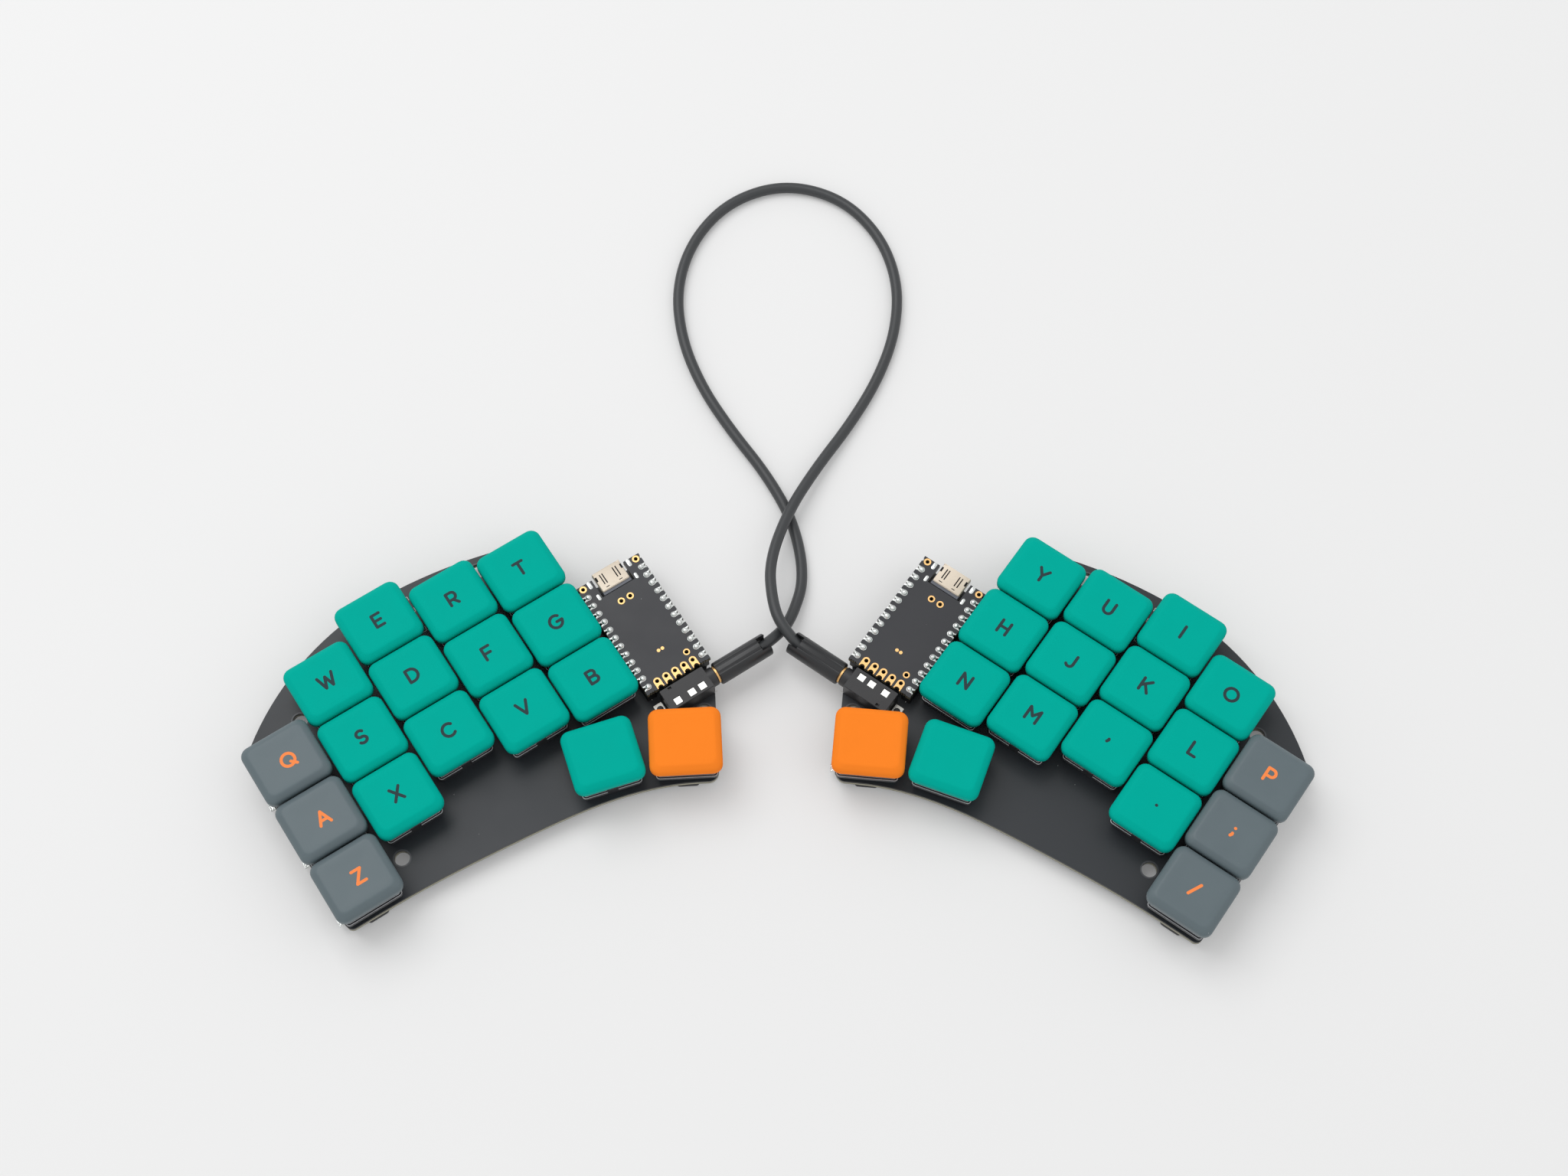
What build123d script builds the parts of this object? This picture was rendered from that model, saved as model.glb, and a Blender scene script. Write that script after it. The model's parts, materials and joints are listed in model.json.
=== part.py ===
"""A split keyboard: two bare-board halves with low-profile keys, joined by an audio-type cable.

Lengths are in millimetres, +Z is up and the desk is z = 0. X runs from the left half to the right
half. Each half has its own local frame: its origin is under the top key of the middle column, local
+X points towards the inner column and local +Y up the columns. The right half is a mirror image.
"""

import math
import os
from dataclasses import dataclass

from build123d import *

os.makedirs("parts", exist_ok=True)

# Where each half lies on the desk
left_origin = (-97.09, 26.72)
left_turn = 33.2
right_origin = (98.32, 23.57)
right_turn = -35.37

# Key layout: pitch, how far each column sits below the middle one, and the two thumb keys
column_pitch = 18.0
row_pitch = 17.0
rows = 3
column_drop = {"pinky": 19.33, "ring": 7.12, "middle": 0.0, "index": 4.97, "inner": 7.10}
thumb_outer_spot = (27.82, -58.97, -15.0)
thumb_inner_spot = (46.16, -66.61, -30.0)
left_names = ("qwert", "asdfg", "zxcvb")
right_names = (("p", "o", "i", "u", "y"), ("semicolon", "l", "k", "j", "h"), ("slash", "period", "comma", "m", "n"))
pins_north_columns = ("ring", "middle", "index")

# Heights of the boards
foot_height = 3.0
board_thickness = 1.6
board_top = foot_height + board_thickness

# Main board outline
edge_margin = 7.6
shoulder_rise = 9.73
crest_rise = 9.2
crest_x = 1.0
inner_rise = 8.8
upper_arc_outer = (-26.3, 2.2)
upper_arc_inner = (23.5, 7.2)
bay_margin = 0.2
bay_corner = 1.5
bay_step = 2.0
jack_margin = 1.0
sweep_inset = 2.2
sweep_drop = 0.9
sweep_low = (4.0, 2.7)
sweep_outer = (-20.0, 0.5)
corner_radius = 1.6
thumb_corner_radius = 2.5
mount_hole_radius = 1.85
mount_holes = ((-28.1, -8.3), (-24.5, -52.05), (28.0, 2.4), (55.5, -60.0))

# Rubber feet
foot_radius = 3.3
foot_sides = 12
foot_spots = ((-35.0, -11.0), (38.5, -1.6), (54.0, -53.4), (-36.2, -47.8), (2.0, -57.6))

# Low-profile switch: heights are above the main board
switch_body = 13.8
flange_size = 15.0
flange_bottom = 2.2
flange_top = 3.0
notch_width = 2.7
notch_depth = 0.6
cover_size = 13.6
cover_top = 5.0
cover_wall = 0.6
centre_post_radius = 1.7
post_sides = 8
post_length = 2.65
post_clearance = 0.05
well_floor = 0.4
key_travel = 3.0

# Stem of the key
stem_length = 9.4
stem_width = 4.2
stem_top = 8.8
lip_overhang = 0.4
lip_height = 0.6
stem_clearance = 0.2
prong_spacing = 5.7
prong_length = 3.0
prong_width = 1.2
prong_depth = 2.8
prong_clearance = 0.05

# Keycap
cap_length = 17.5
cap_width = 16.5
cap_rim = 7.25
cap_shoulder = 8.4
cap_top = 10.3
cap_inset = 1.7
cap_corner_cut = 1.4
cap_wall = 1.1

# Plug-in sockets under the board, each below the two pins of its switch
pin_spots = ((0.0, 5.9), (5.0, 3.8))
socket_height = 1.85
socket_lobe_length = 5.6
socket_lobe_width = 3.2

# Controller board
controller_centre_x = 54.2
controller_top_y = -17.6
controller_length = 33.3
controller_width = 18.0
controller_top = 5.5
controller_thickness = 1.5
header_row_offset = 7.62
header_pitch = 2.54
header_rows = math.floor(controller_length / header_pitch)
header_first = 1.02
header_pin = 0.64
header_hole = 1.0
header_strip_width = 2.5
header_pin_proud = 0.3

# Data port on the controller
port_width = 7.8
port_length = 5.5
port_proud = 1.05
port_height = 2.8
port_above = 0.5
port_wall = 0.3
port_slant = 0.9
port_cut_width = 9.15
port_cut_length = 5.4
port_tongue_width = 3.6
port_tongue_height = 0.65
port_tongue_length = 3.6

# Audio jack
jack_length = 12.1
jack_width = 6.0
jack_gap = 0.5
jack_centre = (controller_centre_x, controller_top_y - controller_length - jack_gap - jack_width / 2)
jack_height = 5.0
jack_nose_length = 1.95
jack_nose_radius = 2.45
jack_axis = 2.5
jack_bore_radius = 1.85
jack_back_wall = 0.5
jack_windows = (-3.35, 0.65, 3.62)
jack_window_length = 1.95
jack_window_width = 1.85
jack_window_offset = 1.35
jack_window_depth = 0.6
contact_height = 0.35

# Plug
plug_seat_gap = 0.05
plug_collar_length = 0.45
plug_start = jack_centre[0] + jack_length / 2 + jack_nose_length + plug_seat_gap + plug_collar_length
plug_length = 14.8
plug_radius = 2.95
plug_flat = 2.6
plug_groove_width = 0.5
plug_groove_depth = 0.3
plug_groove_offset = 0.9
plug_relief_depth = 2.4
plug_collar_radius = 2.2
barrel_radius = 1.75
barrel_end_gap = 0.2
barrel_tip_length = 1.6
barrel_tip_radius = 0.9

# Reset button
reset_length = 2.25
reset_width = 3.0
reset_gap = 0.425
reset_rise = 0.3
reset_centre = (jack_centre[0] - jack_length / 2 - reset_gap - reset_length / 2, jack_centre[1] + reset_rise)
reset_height = 1.2
reset_button_radius = 0.75
reset_button_height = 1.6
reset_travel = 0.25
reset_clearance = 0.1
reset_floor = 0.4

# Cable, and the points that it goes round between the floors of the two plugs' reliefs
cable_radius = 1.4
cable_sides = 12
cable_bend_share = 0.45
CABLE_POINTS = [
    (0.6, 26.8, 5.3),
    (3.8, 32.9, 2.9),
    (6.8, 43.8, 1.4),
    (4.0, 59.2, 1.4),
    (-3.0, 72.6, 1.4),
    (-12.0, 84.9, 1.4),
    (-19.9, 97.8, 1.4),
    (-25.3, 112.0, 1.4),
    (-26.9, 127.3, 1.4),
    (-22.8, 142.1, 1.4),
    (-13.1, 154.1, 1.4),
    (1.5, 159.5, 1.4),
    (16.6, 155.3, 1.4),
    (27.0, 143.9, 1.4),
    (31.8, 129.3, 1.4),
    (30.9, 114.0, 1.4),
    (25.9, 99.6, 1.4),
    (18.4, 86.4, 1.45),
    (10.0, 73.9, 2.7),
    (2.7, 60.8, 4.45),
    (-2.1, 46.0, 6.3),
    (-1.4, 34.8, 8.0),
    (0.9, 27.6, 8.4),
]


@dataclass
class Half:
    """One half of the keyboard and the place of its local frame."""

    name: str
    hand: int
    origin: tuple
    turn: float
    names: tuple
    pins_north: tuple

    def plane(self, height: float) -> Plane:
        """Give the horizontal plane of this half's local frame at a height above the desk."""
        angle = math.radians(self.turn)
        return Plane(
            origin=(*self.origin, height),
            x_dir=(math.cos(angle), math.sin(angle), 0),
            z_dir=(0, 0, 1),
        )

    def at(self, x: float, y: float) -> tuple:
        """Give a sketch point from the left half's local numbers, mirrored on the right half."""
        return (self.hand * x, y)

    def spot(self, x: float, y: float, turn: float = 0.0) -> Location:
        """Give a sketch location from the left half's local numbers."""
        return Location((self.hand * x, y, 0), (0, 0, self.hand * turn))

    def cross_plane(self, x: float, y: float, height: float) -> Plane:
        """Give the upright plane whose normal points from the half towards the cable."""
        angle = math.radians(self.turn)
        centre = self.plane(height).from_local_coords(Vector(self.hand * x, y, 0))
        outward = (self.hand * math.cos(angle), self.hand * math.sin(angle), 0)
        return Plane(origin=centre, x_dir=(-math.sin(angle), math.cos(angle), 0), z_dir=outward)

    def front_plane(self, x: float, y: float, height: float) -> Plane:
        """Give the upright plane whose normal points up the half's columns."""
        angle = math.radians(self.turn)
        centre = self.plane(height).from_local_coords(Vector(self.hand * x, y, 0))
        return Plane(
            origin=centre,
            x_dir=(-math.cos(angle), -math.sin(angle), 0),
            z_dir=(-math.sin(angle), math.cos(angle), 0),
        )


def key_spots(half: Half) -> dict:
    """Give the spot of every key of a half, and whether its switch pins point up the column."""
    spots = {}
    for column, (finger, drop) in enumerate(column_drop.items()):
        for row in range(rows):
            name = half.names[row][column]
            x = (column - 2) * column_pitch
            y = -(drop + row * row_pitch)
            spots[name] = (x, y, 0.0, finger in pins_north_columns)
    spots[f"{half.name}_outer_thumb"] = (*thumb_outer_spot, "outer" in half.pins_north)
    spots[f"{half.name}_inner_thumb"] = (*thumb_inner_spot, "inner" in half.pins_north)
    return spots


def switch_locations(half: Half) -> list:
    """Give the sketch location of every switch, turned so that its pins are at local +Y."""
    places = []
    for x, y, turn, pins_north in key_spots(half).values():
        places.append(half.spot(x, y, turn if pins_north else turn + 180.0))
    return places


def turned(spot: tuple, x: float, y: float) -> tuple:
    """Give a point that is stated in a turned key's own frame, in the half's local numbers."""
    angle = math.radians(spot[2])
    return (
        spot[0] + x * math.cos(angle) - y * math.sin(angle),
        spot[1] + x * math.sin(angle) + y * math.cos(angle),
    )


def nearest(sketch: BuildSketch, point: tuple) -> Vertex:
    """Give the corner of a sketch that lies nearest to a point."""
    return min(sketch.vertices(), key=lambda corner: math.hypot(corner.X - point[0], corner.Y - point[1]))


def make_board(half: Half) -> BuildPart:
    """Make the main board with its outline, its mounting holes and the holes of the switches."""
    outer_x = -2 * column_pitch - edge_margin
    inner_x = 2 * column_pitch + edge_margin
    bottom_y = -(column_drop["pinky"] + (rows - 1) * row_pitch) - edge_margin
    shoulder = (outer_x, -column_drop["pinky"] + shoulder_rise)
    crest = (crest_x, crest_rise)
    inner_top = (inner_x, -column_drop["inner"] + inner_rise)
    bay_top = controller_top_y - bay_margin
    bay_x = controller_centre_x + controller_width / 2 - bay_margin
    bay_bottom = controller_top_y - controller_length + bay_corner
    jack_x = jack_centre[0] + jack_length / 2 + jack_margin
    corner = turned(thumb_inner_spot, edge_margin, -edge_margin)
    along = turned(thumb_inner_spot, edge_margin, edge_margin)
    reach = (jack_x - along[0]) / math.sin(math.radians(-thumb_inner_spot[2]))
    side_end = turned(thumb_inner_spot, edge_margin, edge_margin + reach)
    sweep_start = turned(thumb_inner_spot, sweep_inset, -edge_margin)
    sweep_thumb = turned(thumb_outer_spot, -sweep_inset, -edge_margin - sweep_drop)
    with BuildPart() as board:
        with BuildSketch(half.plane(foot_height)) as outline:
            with BuildLine():
                Line(half.at(outer_x, bottom_y), half.at(*shoulder))
                ThreePointArc(half.at(*shoulder), half.at(*upper_arc_outer), half.at(*crest))
                ThreePointArc(half.at(*crest), half.at(*upper_arc_inner), half.at(*inner_top))
                Polyline(
                    half.at(*inner_top),
                    half.at(inner_x, bay_top),
                    half.at(bay_x, bay_top),
                    half.at(bay_x, bay_bottom),
                    half.at(bay_x - bay_corner, bay_bottom - bay_step),
                    half.at(jack_x, side_end[1]),
                    half.at(*corner),
                    half.at(*sweep_start),
                )
                Spline(
                    half.at(*sweep_start),
                    half.at(*sweep_thumb),
                    half.at(sweep_low[0], bottom_y - sweep_low[1]),
                    half.at(sweep_outer[0], bottom_y - sweep_outer[1]),
                    half.at(outer_x, bottom_y),
                    tangents=(half.at(-0.866, 0.5), half.at(-1.0, 0.0)),
                )
            make_face()
            fillet(nearest(outline, half.at(*corner)), radius=thumb_corner_radius)
            for spot in ((outer_x, bottom_y), inner_top, (inner_x, bay_top)):
                fillet(nearest(outline, half.at(*spot)), radius=corner_radius)
            with Locations(*[half.at(*spot) for spot in mount_holes]):
                Circle(mount_hole_radius, mode=Mode.SUBTRACT)
            with Locations(*switch_locations(half)):
                RegularPolygon(centre_post_radius + post_clearance, post_sides, mode=Mode.SUBTRACT)
        extrude(amount=board_thickness)
    return board


def header_spots() -> list:
    """Give the local place of every header pin; the first place of each row has no pin."""
    first = controller_top_y - header_first
    return [
        (controller_centre_x + side * header_row_offset, first - place * header_pitch)
        for side in (-1, 1)
        for place in range(1, header_rows)
    ]


def make_bases(half: Half) -> BuildPart:
    """Make the lower switch housings: body, flange with a notch, locating posts and stem well."""
    with BuildPart() as bases:
        with BuildSketch(half.plane(board_top)):
            with Locations(*switch_locations(half)):
                Rectangle(switch_body, switch_body)
        extrude(amount=flange_bottom)
        with BuildSketch(half.plane(board_top + flange_bottom)):
            with Locations(*switch_locations(half)):
                Rectangle(flange_size, flange_size)
                with Locations((0, -flange_size / 2)):
                    Rectangle(notch_width, 2 * notch_depth, mode=Mode.SUBTRACT)
        extrude(amount=flange_top - flange_bottom)
        with BuildSketch(half.plane(board_top)):
            with Locations(*switch_locations(half)):
                RegularPolygon(centre_post_radius, post_sides)
        extrude(amount=-post_length)
        with BuildSketch(half.plane(board_top + well_floor)):
            with Locations(*switch_locations(half)):
                Rectangle(*well_size())
        extrude(amount=flange_top - well_floor, mode=Mode.SUBTRACT)
    return bases


def well_size() -> tuple:
    """Give the length and width of the well that the stem's lip slides in."""
    length = stem_length + 2 * lip_overhang + 2 * stem_clearance
    width = stem_width + 2 * lip_overhang + 2 * stem_clearance
    return (length, width)


def make_covers(half: Half) -> BuildPart:
    """Make the upper switch housings, each with the window that its stem moves through."""
    with BuildPart() as covers:
        with BuildSketch(half.plane(board_top + flange_top)):
            with Locations(*switch_locations(half)):
                Rectangle(cover_size, cover_size)
        extrude(amount=cover_top - flange_top)
        with BuildSketch(half.plane(board_top + flange_top)):
            with Locations(*switch_locations(half)):
                Rectangle(*well_size())
        extrude(amount=cover_top - flange_top - cover_wall, mode=Mode.SUBTRACT)
        with BuildSketch(half.plane(board_top + flange_top)):
            with Locations(*switch_locations(half)):
                Rectangle(stem_length + 2 * stem_clearance, stem_width + 2 * stem_clearance)
        extrude(amount=cover_top - flange_top, mode=Mode.SUBTRACT)
    return covers


def make_sockets(half: Half) -> BuildPart:
    """Make the plug-in sockets: each is two joined lobes under the pins of its switch."""
    with BuildPart() as sockets:
        with BuildSketch(half.plane(foot_height)):
            with Locations(*switch_locations(half)):
                for spot in pin_spots:
                    with Locations(spot):
                        Rectangle(socket_lobe_length, socket_lobe_width)
        extrude(amount=-socket_height)
    return sockets


def cap_outline(inset: float) -> Polygon:
    """Draw the cap's outline with its cut corners, brought in on every side."""
    x = cap_length / 2 - inset
    y = cap_width / 2 - inset
    cut = cap_corner_cut
    return Polygon(
        (-x, cut - y),
        (cut - x, -y),
        (x - cut, -y),
        (x, cut - y),
        (x, y - cut),
        (x - cut, y),
        (cut - x, y),
        (-x, y - cut),
    )


def make_keycap(half: Half, spot: tuple) -> BuildPart:
    """Make one keycap: a low wall, tapered sides, a flat top and two prongs that grip the stem."""
    place = half.spot(spot[0], spot[1], spot[2])
    with BuildPart() as cap:
        with BuildSketch(half.plane(board_top + cap_rim)):
            with Locations(place):
                cap_outline(0.0)
        extrude(amount=cap_shoulder - cap_rim)
        with BuildSketch(half.plane(board_top + cap_shoulder)):
            with Locations(place):
                cap_outline(0.0)
        with BuildSketch(half.plane(board_top + cap_top)):
            with Locations(place):
                cap_outline(cap_inset)
        loft(ruled=True)
        with BuildSketch(half.plane(board_top + cap_rim)):
            with Locations(place):
                Rectangle(cap_length - 2 * cap_wall, cap_width - 2 * cap_wall)
        extrude(amount=stem_top - cap_rim, taper=18, mode=Mode.SUBTRACT)
        with BuildSketch(half.plane(board_top + stem_top)):
            with Locations(place):
                with GridLocations(prong_spacing, 0, 2, 1):
                    Rectangle(prong_width, prong_length)
        extrude(amount=-prong_depth)
    return cap


def make_stem(half: Half, spot: tuple) -> BuildPart:
    """Make one stem: a block with a retaining lip at its foot and two slots for the cap's prongs."""
    place = half.spot(spot[0], spot[1], spot[2])
    foot = cover_top - cover_wall - 0.1 - lip_height
    with BuildPart() as stem:
        with BuildSketch(half.plane(board_top + foot)):
            with Locations(place):
                Rectangle(stem_length + 2 * lip_overhang, stem_width + 2 * lip_overhang)
        extrude(amount=lip_height)
        with BuildSketch(half.plane(board_top + foot)):
            with Locations(place):
                Rectangle(stem_length, stem_width)
        extrude(amount=stem_top - foot)
        with BuildSketch(half.plane(board_top + stem_top)):
            with Locations(place):
                with GridLocations(prong_spacing, 0, 2, 1):
                    Rectangle(prong_width + 2 * prong_clearance, prong_length + 2 * prong_clearance)
        extrude(amount=-prong_depth - prong_clearance, mode=Mode.SUBTRACT)
    return stem


def make_controller(half: Half) -> BuildPart:
    """Make the small controller board with its pin holes and the cut-out around the data port."""
    centre_y = controller_top_y - controller_length / 2
    with BuildPart() as controller:
        with BuildSketch(half.plane(board_top + controller_top - controller_thickness)):
            with Locations(half.at(controller_centre_x, centre_y)):
                Rectangle(controller_width, controller_length)
            with Locations(half.at(controller_centre_x, controller_top_y)):
                Rectangle(port_cut_width, 2 * port_cut_length, mode=Mode.SUBTRACT)
            with Locations(*[half.spot(*spot) for spot in header_spots()]):
                Rectangle(header_hole, header_hole, mode=Mode.SUBTRACT)
        extrude(amount=controller_thickness)
    return controller


def make_header_strips(half: Half) -> BuildPart:
    """Make the plastic strips that carry the controller, one along each row of pins."""
    middle = controller_top_y - header_first - (header_rows - 1) * header_pitch / 2
    length = header_rows * header_pitch
    with BuildPart() as strips:
        with BuildSketch(half.plane(board_top)):
            with Locations(half.at(controller_centre_x, middle)):
                with GridLocations(2 * header_row_offset, 0, 2, 1):
                    Rectangle(header_strip_width, length)
        extrude(amount=controller_top - controller_thickness)
    return strips


def make_header_pins(half: Half) -> BuildPart:
    """Make the square pins that stand up out of the strips, through the controller board."""
    with BuildPart() as pins:
        with BuildSketch(half.plane(board_top + controller_top - controller_thickness)):
            with Locations(*[half.spot(*spot) for spot in header_spots()]):
                Rectangle(header_pin, header_pin)
        extrude(amount=controller_thickness + header_pin_proud)
    return pins


def port_outline(width: float, height: float) -> Polygon:
    """Draw the data port's section: wide and flat on top, with slanted lower corners."""
    side = width / 2 - port_slant
    low = port_slant - height / 2
    return Polygon(
        (-side, -height / 2),
        (side, -height / 2),
        (width / 2, low),
        (width / 2, height / 2),
        (-width / 2, height / 2),
        (-width / 2, low),
        align=None,
    )


def make_port(half: Half) -> BuildPart:
    """Make the data port's metal shell, open at the front, with its tongue inside."""
    front = controller_top_y + port_proud
    axis = board_top + controller_top + port_above - port_height / 2
    with BuildPart() as port:
        with BuildSketch(half.front_plane(controller_centre_x, front, axis)):
            port_outline(port_width, port_height)
        extrude(amount=-port_length)
        with BuildSketch(half.front_plane(controller_centre_x, front, axis)):
            port_outline(port_width - 2 * port_wall, port_height - 2 * port_wall)
        extrude(amount=port_wall - port_length, mode=Mode.SUBTRACT)
        with BuildSketch(half.front_plane(controller_centre_x, front - port_length + port_wall, axis)):
            Rectangle(port_tongue_width, port_tongue_height)
        extrude(amount=port_tongue_length)
    return port


def make_jack(half: Half) -> BuildPart:
    """Make the audio jack's body: a block with a round nose, a bore and three contact windows."""
    axis = board_top + jack_axis
    with BuildPart() as jack:
        with BuildSketch(half.plane(board_top)):
            with Locations(half.at(*jack_centre)):
                Rectangle(jack_length, jack_width)
        extrude(amount=jack_height)
        with BuildSketch(half.cross_plane(jack_centre[0] + jack_length / 2, jack_centre[1], axis)):
            Circle(jack_nose_radius)
        extrude(amount=jack_nose_length)
        back = jack_centre[0] - jack_length / 2 + jack_back_wall
        with BuildSketch(half.cross_plane(back, jack_centre[1], axis)):
            Circle(jack_bore_radius)
        extrude(amount=jack_length + jack_nose_length, mode=Mode.SUBTRACT)
        with BuildSketch(half.plane(board_top + jack_height)):
            with Locations(*window_spots(half)):
                Rectangle(jack_window_length, jack_window_width)
        extrude(amount=-jack_window_depth, mode=Mode.SUBTRACT)
    return jack


def window_spots(half: Half) -> list:
    """Give the sketch points of the jack's windows; the part is turned end for end on the right."""
    side = jack_centre[1] - half.hand * jack_window_offset
    return [half.at(jack_centre[0] + offset, side) for offset in jack_windows]


def make_contacts(half: Half) -> BuildPart:
    """Make the metal contacts that show in the jack's windows."""
    with BuildPart() as contacts:
        with BuildSketch(half.plane(board_top + jack_height - jack_window_depth)):
            with Locations(*window_spots(half)):
                Rectangle(jack_window_length - 0.2, jack_window_width - 0.2)
        extrude(amount=contact_height)
    return contacts


def make_plug(half: Half) -> BuildPart:
    """Make the plug's grip: a round body with flats and long grooves, and a forked cable relief."""
    axis = board_top + jack_axis
    with BuildPart() as plug:
        with BuildSketch(half.cross_plane(plug_start, jack_centre[1], axis)):
            Circle(plug_radius)
            Rectangle(2 * plug_radius, 2 * plug_flat, mode=Mode.INTERSECT)
            with GridLocations(2 * plug_groove_offset, 2 * plug_flat, 2, 2):
                Rectangle(plug_groove_width, 2 * plug_groove_depth, mode=Mode.SUBTRACT)
        extrude(amount=plug_length)
        relief = plug_start + plug_length - plug_relief_depth
        with BuildSketch(half.cross_plane(relief, jack_centre[1], axis)):
            Rectangle(2 * cable_radius + 0.6, 2 * plug_radius)
        extrude(amount=plug_relief_depth, mode=Mode.SUBTRACT)
    return plug


def make_barrel(half: Half) -> BuildPart:
    """Make the plug's metal barrel: collar, shaft and rounded tip, turned about the plug's axis."""
    axis = board_top + jack_axis
    seat = plug_start - plug_collar_length
    tip = jack_centre[0] - jack_length / 2 + jack_back_wall + barrel_end_gap
    with BuildPart() as barrel:
        with BuildSketch(half.cross_plane(seat, jack_centre[1], axis)):
            Circle(plug_collar_radius)
        extrude(amount=plug_collar_length)
        with BuildSketch(half.cross_plane(tip + barrel_tip_length, jack_centre[1], axis)):
            Circle(barrel_radius)
        extrude(amount=seat - tip - barrel_tip_length)
        with BuildSketch(half.cross_plane(tip, jack_centre[1], axis)):
            Circle(barrel_tip_radius)
        with BuildSketch(half.cross_plane(tip + barrel_tip_length, jack_centre[1], axis)):
            Circle(barrel_radius)
        loft()
    return barrel


def relief_floor(half: Half) -> Vector:
    """Give the point where the cable meets the floor of the plug's relief."""
    end = plug_start + plug_length - plug_relief_depth
    return half.cross_plane(end, jack_centre[1], board_top + jack_axis).origin


def make_cable(halves: list) -> BuildPart:
    """Make the cable: straight runs joined by arcs as large as the runs allow."""
    points = [relief_floor(halves[0]), *[Vector(*point) for point in CABLE_POINTS], relief_floor(halves[1])]
    radii = []
    for before, here, after in zip(points, points[1:], points[2:]):
        turn = math.radians((here - before).get_angle(after - here))
        shorter = min((here - before).length, (after - here).length)
        radii.append(cable_bend_share * shorter / math.tan(turn / 2))
    print("cable radii", [round(radius, 1) for radius in radii])
    with BuildPart() as cable:
        with BuildLine() as route:
            FilletPolyline(*points, radius=radii)
        path = route.wire()
        with BuildSketch(Plane(origin=path @ 0, z_dir=path % 0)) as section:
            RegularPolygon(cable_radius, cable_sides)
        sweep()
    print("cable length", round(path.length, 1), "volume", round(cable.part.volume, 1))
    print("section times length", round(section.sketch.area * path.length, 1))
    return cable


def make_reset_switch(half: Half) -> BuildPart:
    """Make the reset switch's body, with the round well that its button moves in."""
    with BuildPart() as switch:
        with BuildSketch(half.plane(board_top)):
            with Locations(half.at(*reset_centre)):
                Rectangle(reset_length, reset_width)
        extrude(amount=reset_height)
        with BuildSketch(half.plane(board_top + reset_floor)):
            with Locations(half.at(*reset_centre)):
                Circle(reset_button_radius + reset_clearance)
        extrude(amount=reset_height - reset_floor, mode=Mode.SUBTRACT)
    return switch


def make_reset_button(half: Half) -> BuildPart:
    """Make the reset switch's round button, which stands its travel above the well's floor."""
    bottom = reset_floor + reset_travel + 0.05
    with BuildPart() as button:
        with BuildSketch(half.plane(board_top + bottom)):
            with Locations(half.at(*reset_centre)):
                Circle(reset_button_radius)
        extrude(amount=reset_button_height - bottom)
    return button


def make_feet(halves: list) -> BuildPart:
    """Make the round rubber feet under both boards."""
    with BuildPart() as feet:
        for half in halves:
            with BuildSketch(half.plane(0)):
                with Locations(*[half.at(*spot) for spot in foot_spots]):
                    RegularPolygon(foot_radius, foot_sides)
            extrude(amount=foot_height)
    return feet


def save(name: str, *solids: Part) -> None:
    """Label one node and write its STEP file."""
    node = solids[0] if len(solids) == 1 else Compound(children=list(solids))
    node.label = name
    export_step(node, f"parts/{name}.step")


left = Half("left", 1, left_origin, left_turn, left_names, ("outer",))
right = Half("right", -1, right_origin, right_turn, right_names, ())
halves = [left, right]

for half in halves:
    save(f"{half.name}_main_board", make_board(half).part)
    save(f"{half.name}_switch_bases", make_bases(half).part)
    save(f"{half.name}_switch_covers", make_covers(half).part)
    save(f"{half.name}_sockets", make_sockets(half).part)
    save(f"{half.name}_controller", make_controller(half).part)
    save(f"{half.name}_audio_jack", make_jack(half).part)
    save(f"{half.name}_plug", make_plug(half).part)
    save(f"{half.name}_reset_switch", make_reset_switch(half).part)
    save(f"{half.name}_reset_button", make_reset_button(half).part)
    for name, spot in key_spots(half).items():
        save(f"key_{name}", make_keycap(half, spot).part, make_stem(half, spot).part)

save("rubber_feet", make_feet(halves).part)
save("header_strips", *[make_header_strips(half).part for half in halves])
save("header_pins", *[make_header_pins(half).part for half in halves])
save("data_ports", *[make_port(half).part for half in halves])
save("jack_contacts", *[make_contacts(half).part for half in halves])
save("cable", make_cable(halves).part)
save("plug_barrels", *[make_barrel(half).part for half in halves])
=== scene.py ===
"""Dressed model of a split keyboard: two bare-board halves with low-profile keys and a joining cable.

Shapes are written in millimetres in the local frame of one half, as in the solid model: the origin is
under the top key of the middle column, +X points to the inner column, +Y up the columns and z = 0 is
the top face of the main board. The right half is a mirror image of the left one.
"""

from __future__ import annotations

import json
import logging
import math
from dataclasses import dataclass
from enum import Enum

import bmesh
import bpy
from mathutils import Matrix, Vector

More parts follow.
